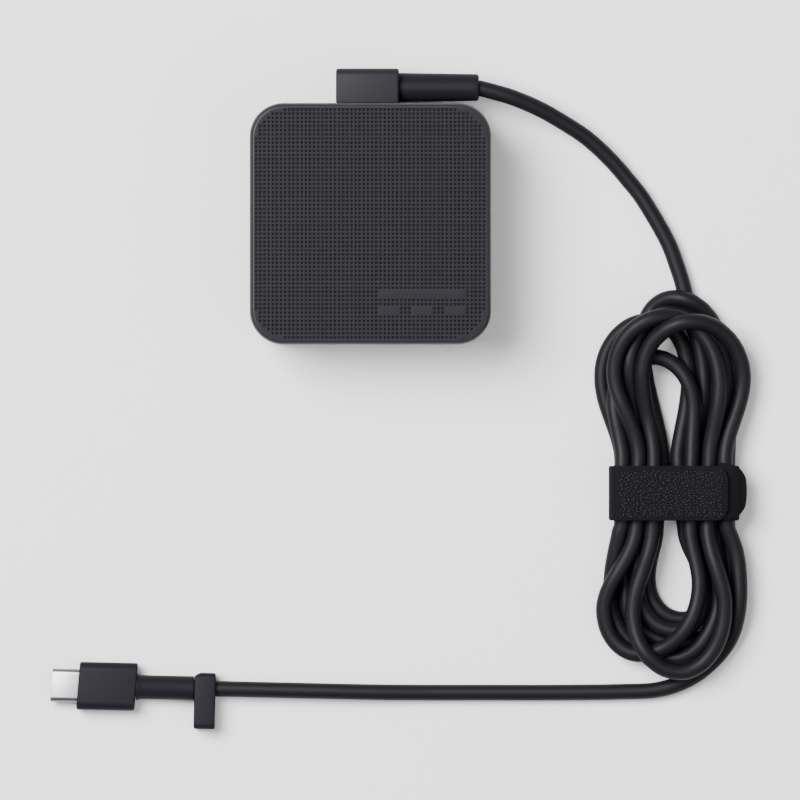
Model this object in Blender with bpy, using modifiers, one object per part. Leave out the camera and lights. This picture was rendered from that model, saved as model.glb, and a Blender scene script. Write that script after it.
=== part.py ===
"""Square wall-plug power adapter with a captive cord, a strapped hank and a small oval plug.

Metres, +Z up. The adapter lies on its rear face. The origin is the centre of that face, and +Z points out
of the front face. The cord leaves the outlet block on the +Y side towards +X. The mains blades are folded
into the rear cover, and the plug lies on the same surface as the adapter.
"""

import math

import bmesh
import bpy
from mathutils import Matrix, Vector

MM = 0.001
GAP = 0.3 * MM  # between pieces that touch

# Case
BODY_SIDE = 60 * MM
BODY_HEIGHT = 28 * MM
BODY_CORNER = 8.4 * MM
FRONT_EDGE = 1.0 * MM
REAR_EDGE = 1.4 * MM
SEAM_Z = 11 * MM
WALL = 2 * MM
REAR_WALL = 3.5 * MM
LIP_RISE = 1.8 * MM
POST_RADIUS = 2 * MM
POST_AT = 21 * MM

# Mains blades, folded along -Y
BLADE_SPACING = 12.7 * MM
BLADE_THICKNESS = 1.5 * MM
BLADE_WIDTH = 6.35 * MM
BLADE_REACH = 17 * MM  # beyond the rear face when folded out
BLADE_TAIL = 4.2 * MM
BLADE_TAIL_WIDTH = 2.6 * MM
CARRIER_RADIUS = 4.2 * MM
CARRIER_LENGTH = 22 * MM
STUB_RADIUS = 1.5 * MM
STUB_LENGTH = 1.5 * MM
HINGE_Y = 8 * MM
HINGE_Z = 4.6 * MM
WELL_WALL = 1.5 * MM
WELL_ROOF = 1.2 * MM
WELL_ROOM = 0.4 * MM  # over the carrier and the blades
POCKET_ROOM = 0.5 * MM  # in front of the carrier
SPRING_THICKNESS = 0.3 * MM
POCKET_BACK = HINGE_Y + CARRIER_RADIUS + 1.4 * MM
LABEL_SIZE = (40 * MM, 8.5 * MM, 0.2 * MM)
LABEL_Y = -22.4 * MM
CONTACT_HALF_WIDTH = 1.6 * MM  # of the window that a contact spring passes through
CONTACT_WIDTH = 2.4 * MM
NOTCH_RADIUS = 4.6 * MM  # hollow for a fingernail
NOTCH_DROP = 2.2 * MM
BLADE_EYE_RADIUS = 1.6 * MM
BLADE_EYE_REACH = 4 * MM  # from the blade's tip
DETENT_Z = (1.2 * MM, 8.4 * MM)
DETENT_WIDTH = 5 * MM

# Circuit board and what stands on it
BOARD_Z = 12.2 * MM
BOARD_THICKNESS = 1.2 * MM
BOARD_LOW = (-25.8 * MM, -25.8 * MM)
BOARD_HIGH = (25.8 * MM, 24.2 * MM)
FLOOR_Z = BOARD_Z + BOARD_THICKNESS + GAP  # underside of the components
CORE_CENTRE = (12.5 * MM, 1 * MM)
CORE_SIZE = (20 * MM, 17 * MM)
CORE_HEIGHT = 10.2 * MM
CORE_PLATE = 2 * MM
CORE_LEG = 3 * MM
CORE_POST_RADIUS = 3.2 * MM
CHOKE_CENTRE = (-18.5 * MM, 9.5 * MM)
OUTPUT_BOARD_X = 14 * MM
OUTPUT_BOARD_Y = 14.5 * MM
SPREADER_THICKNESS = 0.5 * MM
FILM_THICKNESS = 0.3 * MM

# Cord outlet
OUTLET_LOW = (-8.6 * MM, BODY_SIDE / 2 + GAP, 5.5 * MM)
OUTLET_HIGH = (7.1 * MM, 38.7 * MM, 16.5 * MM)
OUTLET_EDGE = 1.2 * MM
NECK_CENTRE_X = -0.7 * MM
NECK_HALF_WIDTH = 4 * MM
NECK_HALF_HEIGHT = 2.6 * MM
FLANGE_HALF_WIDTH = 5.8 * MM
FLANGE_HALF_HEIGHT = 4.3 * MM
FLANGE_THICKNESS = 1.3 * MM
SLEEVE_AXIS = (34 * MM, 11 * MM)  # its Y and Z
SLEEVE_END_X = 27 * MM
SLEEVE_RADIUS = 3.6 * MM
SLEEVE_END_RADIUS = 3.35 * MM

# Cord, hank and strap
CORD_DIAMETER = 4 * MM
CORD_STEP = 2.5 * CORD_DIAMETER  # between the points of a stretch
LEAD_ROUTE = [  # from the sleeve down to the surface and over to the top of the hank, mm
    (27.6, 33.7, 11.0),
    (33.5, 32.1, 10.6),
    (37.2, 30.8, 9.8),
    (42.2, 28.6, 8.3),
    (47.2, 25.8, 6.6),
    (53.8, 21.5, 4.6),
    (59.8, 16.0, 3.1),
    (64.3, 10.8, 2.3),
    (68.1, 5.9, 2.1),
    (73.8, -4.0, 2.0),
    (76.6, -11.5, 2.0),
    (77.8, -15.6, 2.0),
]
TAIL_ROUTE = [  # from the foot of the hank along the surface towards the plug, mm
    (81.0, -114.5, 2.0),
    (72.0, -115.9, 2.0),
    (62.0, -116.5, 2.0),
    (45.0, -116.7, 2.0),
    (28.0, -116.7, 2.0),
    (14.0, -116.7, 2.2),
    (2.0, -116.6, 2.9),
]
HANK_CENTRE = (75.4 * MM, -64.8 * MM)
HANK_LENGTH = 95.6 * MM
HANK_WIDTH = 44.8 * MM  # of the oval before it is pinched; 38.4 mm across the lobes
HANK_HEIGHT = 12 * MM
HANK_PINCH = 0.27  # how much narrower its waist is
HANK_PINCH_REACH = 18 * MM
STRAP_THICKNESS = 1.1 * MM
STRAP_X = (59.4 * MM, 93.2 * MM)
STRAP_Y = (-73.8 * MM, -60.2 * MM)
STRAP_ROOM = 8.6 * MM  # inside height
STRAP_END_X = 88.8 * MM
STRAP_END_CORNER = 2.9 * MM

# Plug and keeper, in the plug's own axes: x along the cord from the plug's tip to the cord
PLUG_ORIGIN = (-44.3 * MM, -115.6 * MM, 3.25 * MM)  # where the cord enters the strain relief
PLUG_TURN = math.radians(-1.28)
STRAIGHT_RUN = 36 * MM  # of cord that the keeper slides on
RELIEF_LENGTH = 13.8 * MM
RELIEF_RADIUS = 3.0 * MM
RELIEF_EDGE = 0.6 * MM
OVERMOULD_LENGTH = 14.5 * MM
OVERMOULD_WIDTH = 11.9 * MM
OVERMOULD_HEIGHT = 6.5 * MM
OVERMOULD_CORNER = 2.1 * MM
OVERMOULD_EDGE = 0.5 * MM
OVERMOULD_WALL = 1.1 * MM
SHELL_LENGTH = 6.65 * MM
SHELL_WIDTH = 8.25 * MM
SHELL_HEIGHT = 2.5 * MM
SHELL_WALL = 0.25 * MM
SHELL_ROOT = 3 * MM  # inside the overmould
LINER_GAP = 0.15 * MM  # between the shell and the insulator in it
LINER_SET_BACK = 0.4 * MM
TONGUE_HALF_WIDTH = 3.4 * MM  # of the slot that takes the socket's tongue
TONGUE_HALF_HEIGHT = 0.45 * MM
PLUG_BOARD_HALF_WIDTH = 4 * MM
PLUG_BOARD_HALF_HEIGHT = 0.3 * MM
PLUG_BOARD_MARGIN = 1.4 * MM  # from the shell and from the overmould's wall
CONTACT_COUNT = 12
CONTACT_PITCH = 0.5 * MM
CONTACT_BAR = 0.6 * MM
CONTACT_REACH = 2.6 * MM
CONTACT_HEIGHT = 0.3 * MM
CONTACT_TAIL_HALF_WIDTH = 0.12 * MM
KEEPER_X = (0.4 * MM, 5.7 * MM)
KEEPER_Y = (-10.1 * MM, 3.9 * MM)
KEEPER_HEIGHT = 6.5 * MM
KEEPER_CORNER = 1.5 * MM
KEEPER_HOOK_Y = -5.9 * MM
KEEPER_HOOK_RADIUS = 1.9 * MM
KEEPER_SLIT = 2.2 * MM

TINY = 1e-7


def clear_scene():
    for obj in list(bpy.data.objects):
        bpy.data.objects.remove(obj, do_unlink=True)


def new_collection(name):
    collection = bpy.data.collections.new(name)
    bpy.context.scene.collection.children.link(collection)
    return collection


def look(name, colour, roughness, metallic=0.0):
    material = bpy.data.materials.new(name)
    material.use_nodes = True
    shader = material.node_tree.nodes["Principled BSDF"]
    shader.inputs["Base Color"].default_value = (*colour, 1.0)
    shader.inputs["Roughness"].default_value = roughness
    shader.inputs["Metallic"].default_value = metallic
    material.diffuse_color = (*colour, 1.0)
    return material


def add(name, mesh, material=None):
    """Object of a mesh: a part where it has a material, and otherwise a hidden cutter."""
    obj = bpy.data.objects.new(name, mesh)
    if material:
        mesh.materials.append(material)
        PARTS.objects.link(obj)
    else:
        CUTTERS.objects.link(obj)
        obj.hide_render = True
        obj.display_type = "WIRE"
    return obj


def finished(bm, name, material):
    mesh = bpy.data.meshes.new(name)
    bm.to_mesh(mesh)
    bm.free()
    return add(name, mesh, material)


def box(name, low, high, material=None, corner=0.0, axis=2, steps=4, rim=0.0, ends=(-1, 1), rim_steps=2):
    """Box with its edges along one axis rounded by corner, and the rims of the named ends by rim."""
    size = Vector(high) - Vector(low)
    bm = bmesh.new()
    bmesh.ops.create_cube(bm, size=1.0)
    bmesh.ops.scale(bm, vec=size, verts=bm.verts)
    if corner:
        length = size[axis]
        lengthwise = [e for e in bm.edges if abs(e.verts[0].co[axis] - e.verts[1].co[axis]) > length / 2]
        bmesh.ops.bevel(bm, geom=lengthwise, offset=corner, segments=steps, profile=0.5, affect="EDGES")
    if rim:
        for end in ends:
            level = end * size[axis] / 2
            edges = [e for e in bm.edges if all(abs(v.co[axis] - level) < TINY for v in e.verts)]
            bmesh.ops.bevel(bm, geom=edges, offset=rim, segments=rim_steps, profile=0.5, affect="EDGES")
    obj = finished(bm, name, material)
    obj.location = (Vector(low) + Vector(high)) / 2
    return obj


def rod(name, start, end, radius, material=None, segments=24):
    """Round rod between two points."""
    run = Vector(end) - Vector(start)
    bm = bmesh.new()
    bmesh.ops.create_cone(
        bm, cap_ends=True, segments=segments, radius1=radius, radius2=radius, depth=run.length
    )
    obj = finished(bm, name, material)
    obj.location = (Vector(start) + Vector(end)) / 2
    obj.rotation_mode = "QUATERNION"
    obj.rotation_quaternion = run.to_track_quat("Z", "Y")
    smooth(obj)
    return obj


def turned(name, profile, location, material=None, axis=(0, 0, 1), steps=24, closed=False):
    """Turned shape. The profile holds (radius, height) down the outer side; a closed one makes a ring."""
    bm = bmesh.new()
    verts = [bm.verts.new((radius, 0, height)) for radius, height in profile]
    pairs = list(zip(verts, verts[1:] + verts[:1])) if closed else list(zip(verts, verts[1:]))
    for pair in pairs:
        bm.edges.new(pair)
    obj = finished(bm, name, material)
    screw = obj.modifiers.new("turn", "SCREW")
    screw.axis = "Z"
    screw.steps = steps
    screw.render_steps = steps
    screw.use_merge_vertices = True
    screw.merge_threshold = 0.00001
    screw.use_smooth_shade = False
    obj.location = location
    obj.rotation_mode = "QUATERNION"
    obj.rotation_quaternion = Vector(axis).to_track_quat("Z", "Y")
    return obj


def strip(name, path, middle_x, width, material):
    """Bent sheet-metal strip: its path in Y and Z, drawn out along X and thickened."""
    bm = bmesh.new()
    verts = [bm.verts.new((middle_x - width / 2, y, z)) for y, z in path]
    edges = [bm.edges.new(pair) for pair in zip(verts, verts[1:])]
    drawn = bmesh.ops.extrude_edge_only(bm, edges=edges)["geom"]
    far = [item for item in drawn if isinstance(item, bmesh.types.BMVert)]
    bmesh.ops.translate(bm, verts=far, vec=(width, 0, 0))
    obj = finished(bm, name, material)
    thicken = obj.modifiers.new("thickness", "SOLIDIFY")
    thicken.thickness = SPRING_THICKNESS
    thicken.offset = 0.0
    thicken.use_even_offset = True
    return obj


def tube(name, points, radius, material, resolution=3):
    """Round wire or cord along points, with closed ends."""
    curve = bpy.data.curves.new(name, "CURVE")
    curve.dimensions = "3D"
    curve.bevel_depth = radius
    curve.bevel_resolution = resolution
    curve.use_fill_caps = True
    spline = curve.splines.new("POLY")
    spline.points.add(len(points) - 1)
    for spot, point in zip(spline.points, points):
        spot.co = (*point, 1.0)
    curve.materials.append(material)
    obj = bpy.data.objects.new(name, curve)
    PARTS.objects.link(obj)
    return obj


def outline_solid(name, outline, low_z, high_z, material):
    """Flat outline drawn up from low_z to high_z, as a mesh."""
    curve = bpy.data.curves.new(name + "_outline", "CURVE")
    curve.dimensions = "2D"
    curve.fill_mode = "BOTH"
    curve.extrude = (high_z - low_z) / 2
    spline = curve.splines.new("POLY")
    spline.points.add(len(outline) - 1)
    for spot, (x, y) in zip(spline.points, outline):
        spot.co = (x, y, 0.0, 1.0)
    spline.use_cyclic_u = True
    drawn = bpy.data.objects.new(name + "_outline", curve)
    drawn.location.z = (low_z + high_z) / 2
    CUTTERS.objects.link(drawn)
    bpy.context.view_layer.update()
    mesh = bpy.data.meshes.new_from_object(drawn.evaluated_get(bpy.context.evaluated_depsgraph_get()))
    bm = bmesh.new()
    bm.from_mesh(mesh)
    bmesh.ops.remove_doubles(bm, verts=bm.verts, dist=TINY * 10)
    bmesh.ops.recalc_face_normals(bm, faces=bm.faces)
    bm.to_mesh(mesh)
    bm.free()
    obj = add(name, mesh, material)
    obj.matrix_world = drawn.matrix_world
    bpy.data.objects.remove(drawn, do_unlink=True)
    return obj


def combine(obj, operation, others):
    for other in others:
        boolean = obj.modifiers.new(other.name, "BOOLEAN")
        boolean.operation = operation
        boolean.object = other
        boolean.solver = "EXACT"
    return obj


def cut(obj, *cutters):
    return combine(obj, "DIFFERENCE", cutters)


def join(obj, *others):
    return combine(obj, "UNION", others)


def smooth(obj):
    obj.data.shade_smooth()
    obj.data.set_sharp_from_angle(angle=math.radians(35))


def empty(name, location, turn=0.0):
    obj = bpy.data.objects.new(name, None)
    obj.empty_display_size = 5 * MM
    obj.location = location
    obj.rotation_euler = (0, 0, turn)
    PARTS.objects.link(obj)
    return obj


def hang_on(parent, *objects):
    """Parents objects whose places are already given in the parent's own axes."""
    for obj in objects:
        obj.parent = parent


def move_to(parent, *objects):
    """Parents objects placed in world axes to an empty that isn't turned."""
    for obj in objects:
        obj.parent = parent
        obj.location -= parent.location


def smooth_route(knots, step):
    """Points every step or so along a smooth curve through the knots (a Catmull-Rom curve)."""
    knots = [Vector(knot) for knot in knots]
    first = 2 * knots[0] - knots[1]
    last = 2 * knots[-1] - knots[-2]
    spots = [first, *knots, last]
    fine = []
    divisions = 24
    for a, b, c, d in zip(spots, spots[1:], spots[2:], spots[3:]):
        for i in range(divisions):
            t = i / divisions
            slope = (c - a) / 2
            second = a - 2.5 * b + 2 * c - d / 2
            third = (3 * b - a - 3 * c + d) / 2
            fine.append(b + slope * t + second * t**2 + third * t**3)
    fine.append(knots[-1])
    lengths = [0.0]
    for a, b in zip(fine, fine[1:]):
        lengths.append(lengths[-1] + (b - a).length)
    count = max(1, round(lengths[-1] / step))
    points = []
    for i in range(count + 1):
        wanted = lengths[-1] * i / count
        at = next(k for k in range(1, len(lengths)) if lengths[k] >= wanted - TINY)
        share = (wanted - lengths[at - 1]) / (lengths[at] - lengths[at - 1])
        points.append(fine[at - 1].lerp(fine[at], share))
    return points


def plug_matrix():
    return Matrix.Translation(PLUG_ORIGIN) @ Matrix.Rotation(PLUG_TURN, 4, "Z")


# ---------------------------------------------------------------- case


def square(name, inset, low_z, high_z, material=None, **rounding):
    """Prism with the case's outline moved in by inset."""
    half = BODY_SIDE / 2 - inset
    return box(
        name,
        (-half, -half, low_z),
        (half, half, high_z),
        material,
        corner=BODY_CORNER - inset,
        steps=6,
        **rounding,
    )


def neck_opening(name):
    """Cutter for the slot that the outlet's neck passes through, in both covers."""
    half = NECK_HALF_WIDTH + GAP
    tall = NECK_HALF_HEIGHT + GAP
    return box(
        name,
        (NECK_CENTRE_X - half, BODY_SIDE / 2 - 2 * REAR_WALL, SEAM_Z - tall),
        (NECK_CENTRE_X + half, BODY_SIDE / 2 + WALL, SEAM_Z + tall),
    )


def front_cover():
    cover = square(
        "front_cover", 0.0, SEAM_Z + GAP / 2, BODY_HEIGHT, CASE, rim=FRONT_EDGE, ends=(1,), rim_steps=3
    )
    hollow = square("front_hollow", WALL, SEAM_Z - WALL, BODY_HEIGHT - WALL)
    cut(cover, hollow, neck_opening("front_neck_opening"))
    smooth(cover)


def blade_x(side):
    return side * BLADE_SPACING / 2


def rear_cover():
    cover = square("rear_cover", 0.0, 0.0, SEAM_Z - GAP / 2, CASE, rim=REAR_EDGE, ends=(-1,), rim_steps=3)
    lip = square("rear_lip", WALL + GAP, SEAM_Z - WALL, SEAM_Z + LIP_RISE)
    hollow = square("rear_hollow", REAR_WALL, WALL, SEAM_Z + 2 * LIP_RISE)
    join(cover, lip)
    cut(cover, hollow)

    # Well for the blades: a wide pocket for their carrier, and a channel for each blade.
    pocket_x = CARRIER_LENGTH / 2 + GAP
    pocket_low = HINGE_Y - CARRIER_RADIUS - POCKET_ROOM
    pocket_high = POCKET_BACK
    pocket_roof = HINGE_Z + CARRIER_RADIUS + WELL_ROOM
    channel_half = BLADE_THICKNESS / 2 + 2 * GAP
    channel_low = HINGE_Y - (HINGE_Z + BLADE_REACH) - 2 * GAP
    channel_roof = HINGE_Z + BLADE_WIDTH / 2 + WELL_ROOM
    channel_x = BLADE_SPACING / 2 + channel_half
    pocket_block = box(
        "pocket_block",
        (-pocket_x - WELL_WALL, pocket_low - WELL_WALL, WALL / 2),
        (pocket_x + WELL_WALL, pocket_high + WELL_WALL, pocket_roof + WELL_ROOF),
    )
    channel_block = box(
        "channel_block",
        (-channel_x - WELL_WALL, channel_low - WELL_WALL, WALL / 2),
        (channel_x + WELL_WALL, pocket_low, channel_roof + WELL_ROOF),
    )
    join(cover, pocket_block, channel_block)
    for side_x in (-1, 1):
        for side_y in (-1, 1):
            spot = (side_x * POST_AT, side_y * POST_AT)
            name = f"board_post_{side_x}_{side_y}"
            join(cover, rod(name, (*spot, WALL / 2), (*spot, BOARD_Z - GAP), POST_RADIUS, segments=12))
    pocket = box("pocket", (-pocket_x, pocket_low, -WALL), (pocket_x, pocket_high, pocket_roof))
    cut(cover, pocket)
    bearing = STUB_RADIUS + GAP
    for side in (-1, 1):
        middle = blade_x(side)
        channel = box(
            f"channel_{side}",
            (middle - channel_half, channel_low, -WALL),
            (middle + channel_half, pocket_low + WALL, channel_roof),
        )
        window = box(
            f"contact_window_{side}",
            (middle - CONTACT_HALF_WIDTH, pocket_low + GAP, pocket_roof - MM),
            (middle + CONTACT_HALF_WIDTH, HINGE_Y + 2 * MM, pocket_roof + 2 * WELL_ROOF),
        )
        slot = box(
            f"bearing_slot_{side}",
            (side * (pocket_x + WELL_WALL / 2) - WELL_WALL, HINGE_Y - bearing, HINGE_Z),
            (side * (pocket_x + WELL_WALL / 2) + WELL_WALL, HINGE_Y + bearing, pocket_roof + 2 * WELL_ROOF),
        )
        seat_start = (side * (pocket_x - WELL_WALL), HINGE_Y, HINGE_Z)
        seat_end = (side * (pocket_x + 2 * WELL_WALL), HINGE_Y, HINGE_Z)
        seat = rod(f"bearing_seat_{side}", seat_start, seat_end, bearing, segments=16)
        cut(cover, channel, window, slot, seat)
    # Hollow at the blades' tips for a fingernail.
    notch_y = channel_low + 3.5 * MM
    notch_start = (-channel_x - MM, notch_y, -NOTCH_DROP)
    notch_end = (channel_x + MM, notch_y, -NOTCH_DROP)
    notch = rod("fingernail_notch", notch_start, notch_end, NOTCH_RADIUS, segments=28)
    cut(cover, notch, neck_opening("rear_neck_opening"))
    width, height, thickness = LABEL_SIZE
    recess = box(
        "label_recess",
        (-width / 2 - GAP, LABEL_Y - height / 2 - GAP, -WALL),
        (width / 2 + GAP, LABEL_Y + height / 2 + GAP, thickness + GAP),
        corner=MM,
    )
    cut(cover, recess)
    smooth(cover)


def rating_label():
    width, height, thickness = LABEL_SIZE
    low = (-width / 2, LABEL_Y - height / 2, 0.0)
    high = (width / 2, LABEL_Y + height / 2, thickness)
    box("rating_label", low, high, LABEL, corner=0.8 * MM)


# ---------------------------------------------------------------- mains blades


def prongs():
    """The blades and the carrier that they turn in, on the hinge's own empty."""
    hinge = empty("prong_hinge", (0, HINGE_Y, HINGE_Z))
    half = CARRIER_LENGTH / 2
    start, end = (-half, HINGE_Y, HINGE_Z), (half, HINGE_Y, HINGE_Z)
    carrier = rod("prong_carrier", start, end, CARRIER_RADIUS, CARRIER, 28)
    stub_start, stub_end = (-half - STUB_LENGTH, HINGE_Y, HINGE_Z), (half + STUB_LENGTH, HINGE_Y, HINGE_Z)
    stubs = rod("carrier_stubs", stub_start, stub_end, STUB_RADIUS, segments=16)
    join(carrier, stubs)
    tip_y = HINGE_Y - (HINGE_Z + BLADE_REACH)
    moving = [carrier, stubs]
    for side, name in ((-1, "prong_left"), (1, "prong_right")):
        middle = blade_x(side)
        half_x = BLADE_THICKNESS / 2
        half_z = BLADE_WIDTH / 2
        blade = box(
            name,
            (middle - half_x, tip_y, HINGE_Z - half_z),
            (middle + half_x, HINGE_Y, HINGE_Z + half_z),
            NICKEL,
            corner=0.6 * MM,
            axis=0,
            steps=2,
        )
        tail_low = (middle - half_x, HINGE_Y - 2 * MM, HINGE_Z - BLADE_TAIL_WIDTH / 2)
        tail_high = (middle + half_x, HINGE_Y + BLADE_TAIL, HINGE_Z + BLADE_TAIL_WIDTH / 2)
        tail = box(name + "_tail", tail_low, tail_high)
        eye_y = tip_y + BLADE_EYE_REACH
        eye_start = (middle - BLADE_WIDTH, eye_y, HINGE_Z)
        eye_end = (middle + BLADE_WIDTH, eye_y, HINGE_Z)
        eye = rod(name + "_eye", eye_start, eye_end, BLADE_EYE_RADIUS, segments=16)
        cut(join(blade, tail), eye)
        seat = box(
            name + "_seat",
            (middle - half_x - GAP, HINGE_Y - 2 * CARRIER_RADIUS, HINGE_Z - half_z - GAP),
            (middle + half_x + GAP, HINGE_Y + GAP, HINGE_Z + half_z + GAP),
        )
        tail_seat = box(
            name + "_tail_seat",
            (middle - half_x - GAP, HINGE_Y - MM, HINGE_Z - BLADE_TAIL_WIDTH / 2 - GAP),
            (middle + half_x + GAP, HINGE_Y + 2 * CARRIER_RADIUS, HINGE_Z + BLADE_TAIL_WIDTH / 2 + GAP),
        )
        cut(carrier, seat, tail_seat)
        moving += [blade, tail, eye, seat, tail_seat]
    move_to(hinge, *moving)


def prong_bracket():
    """Retainer over the carrier's bearing slots, with a leg down each one."""
    roof = HINGE_Z + CARRIER_RADIUS + WELL_ROOM + WELL_ROOF + GAP
    half_x = CARRIER_LENGTH / 2 + WELL_WALL + 1.5 * MM
    bracket = box(
        "prong_bracket",
        (-half_x, HINGE_Y - 2.6 * MM, roof),
        (half_x, HINGE_Y + 2.6 * MM, roof + MM),
        CARRIER,
        corner=MM,
    )
    for side in (-1, 1):
        middle = side * (CARRIER_LENGTH / 2 + GAP + WELL_WALL / 2)
        leg = box(
            f"bracket_leg_{side}",
            (middle - 0.5 * MM, HINGE_Y - STUB_RADIUS, HINGE_Z + STUB_RADIUS + GAP),
            (middle + 0.5 * MM, HINGE_Y + STUB_RADIUS, roof + 0.5 * MM),
        )
        join(bracket, leg)


def contact_springs():
    """Leaf springs that meet the blades' tails when the blades are out, and reach up to the board."""
    pad_z = HINGE_Z + CARRIER_RADIUS + WELL_ROOM + SPRING_THICKNESS / 2
    shelf_z = pad_z + WELL_ROOF + GAP
    rise_y = HINGE_Y - CARRIER_RADIUS + 0.6 * MM
    end_y = -2 * MM
    path = [(HINGE_Y + 1.5 * MM, pad_z), (rise_y, pad_z), (rise_y - 0.3 * MM, shelf_z), (end_y, shelf_z)]
    path.append((end_y, BOARD_Z - GAP))
    for side, name in ((-1, "contact_spring_left"), (1, "contact_spring_right")):
        strip(name, path, blade_x(side), CONTACT_WIDTH, SPRING_METAL)


def detent_spring():
    """Leaf behind the carrier that clicks against it at both ends of the fold."""
    back_y = POCKET_BACK - GAP - SPRING_THICKNESS / 2
    low_z, high_z = DETENT_Z
    middle_z = (low_z + high_z) / 2
    path = [(back_y, low_z), (back_y - 0.3 * MM, middle_z), (back_y, high_z)]
    strip("detent_spring", path, 0.0, DETENT_WIDTH, SPRING_METAL)


# ---------------------------------------------------------------- electronics


def component(name, middle_x, middle_y, size, material, base=FLOOR_Z, **rounding):
    """Block that stands on the board, or higher where base says so."""
    half_x, half_y = size[0] / 2, size[1] / 2
    low = (middle_x - half_x, middle_y - half_y, base)
    high = (middle_x + half_x, middle_y + half_y, base + size[2])
    return box(name, low, high, material, **rounding)


def main_board():
    low = (*BOARD_LOW, BOARD_Z)
    high = (*BOARD_HIGH, BOARD_Z + BOARD_THICKNESS)
    box("main_board", low, high, BOARD, corner=4.5 * MM)


def transformer():
    x, y = CORE_CENTRE
    wide, deep = CORE_SIZE
    half = CORE_HEIGHT / 2
    middle_z = FLOOR_Z + half
    for name, end in (("transformer_core_lower", -1), ("transformer_core_upper", 1)):
        face = middle_z + end * half
        plate_edge = face - end * CORE_PLATE
        meet = middle_z + end * GAP / 2
        core = box(
            name,
            (x - wide / 2, y - deep / 2, min(face, plate_edge)),
            (x + wide / 2, y + deep / 2, max(face, plate_edge)),
            FERRITE,
        )
        inside = plate_edge + end * MM
        join(core, rod(name + "_post", (x, y, meet), (x, y, inside), CORE_POST_RADIUS, segments=16))
        for side in (-1, 1):
            leg_x = x + side * (wide - CORE_LEG) / 2
            leg = box(
                f"{name}_leg_{side}",
                (leg_x - CORE_LEG / 2, y - deep / 2, min(meet, inside)),
                (leg_x + CORE_LEG / 2, y + deep / 2, max(meet, inside)),
            )
            join(core, leg)
    tall = half - CORE_PLATE - GAP  # half the bobbin's height
    tube_in = CORE_POST_RADIUS + GAP
    tube_out = tube_in + 0.6 * MM
    flange = wide / 2 - CORE_LEG - GAP
    flange_inner = tall - 0.6 * MM
    bobbin_profile = [
        (tube_in, tall),
        (flange, tall),
        (flange, flange_inner),
        (tube_out, flange_inner),
        (tube_out, -flange_inner),
        (flange, -flange_inner),
        (flange, -tall),
        (tube_in, -tall),
    ]
    turned("transformer_bobbin", bobbin_profile, (x, y, middle_z), BOBBIN, closed=True)
    winding_out = flange - 0.2 * MM
    ring("transformer_winding", (x, y, middle_z), tube_out + GAP, winding_out, flange_inner - GAP, TAPE)


def ring(name, centre, inner, outer, half_height, material=None, steps=24):
    profile = [(inner, half_height), (outer, half_height), (outer, -half_height), (inner, -half_height)]
    return turned(name, profile, centre, material, steps=steps, closed=True)


def capacitor(name, start, end, radius, material):
    """Can with a rolled groove near its open end."""
    length = (Vector(end) - Vector(start)).length
    half = length / 2
    groove = half - 2.2 * MM
    profile = [
        (0, half),
        (radius - 0.5 * MM, half),
        (radius, half - 0.5 * MM),
        (radius, groove + 0.5 * MM),
        (radius - 0.4 * MM, groove),
        (radius, groove - 0.5 * MM),
        (radius, 0.5 * MM - half),
        (radius - 0.5 * MM, -half),
        (0, -half),
    ]
    middle = (Vector(start) + Vector(end)) / 2
    axis = Vector(end) - Vector(start)
    return turned(name, profile, middle, material, axis=axis, steps=20)


def capacitors():
    bulk_radius = 4.8 * MM
    for number, y in ((1, -20.8 * MM), (2, -10.8 * MM)):
        z = FLOOR_Z + bulk_radius
        capacitor(f"bulk_capacitor_{number}", (-6 * MM, y, z), (-25 * MM, y, z), bulk_radius, SLEEVING)
    for number, x in ((1, 10 * MM), (2, 17.5 * MM)):
        foot = (x, -20.5 * MM, FLOOR_Z)
        top = (x, -20.5 * MM, FLOOR_Z + 9.5 * MM)
        capacitor(f"output_capacitor_{number}", top, foot, 3.15 * MM, CAN)


def choke():
    x, y = CHOKE_CENTRE
    inner, outer, half = 2.8 * MM, 5.0 * MM, 2.2 * MM
    wire = 0.7 * MM
    z = FLOOR_Z + half + wire + GAP
    ring("choke_core", (x, y, z), inner, outer, half, CORE_COAT)
    for number, side in ((1, -1), (2, 1)):
        name = f"choke_winding_{number}"
        winding = ring(name, (x, y, z), inner - GAP - wire, outer + GAP + wire, half + GAP + wire, COPPER)
        room = ring(name + "_room", (x, y, z), inner - GAP, outer + GAP, half + GAP)
        reach = 2 * outer
        keep = box(
            name + "_keep",
            (x - reach if side < 0 else x + 1.4 * MM, y - reach, z - reach),
            (x - 1.4 * MM if side < 0 else x + reach, y + reach, z + reach),
        )
        cut(winding, room)
        combine(winding, "INTERSECT", [keep])


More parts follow.
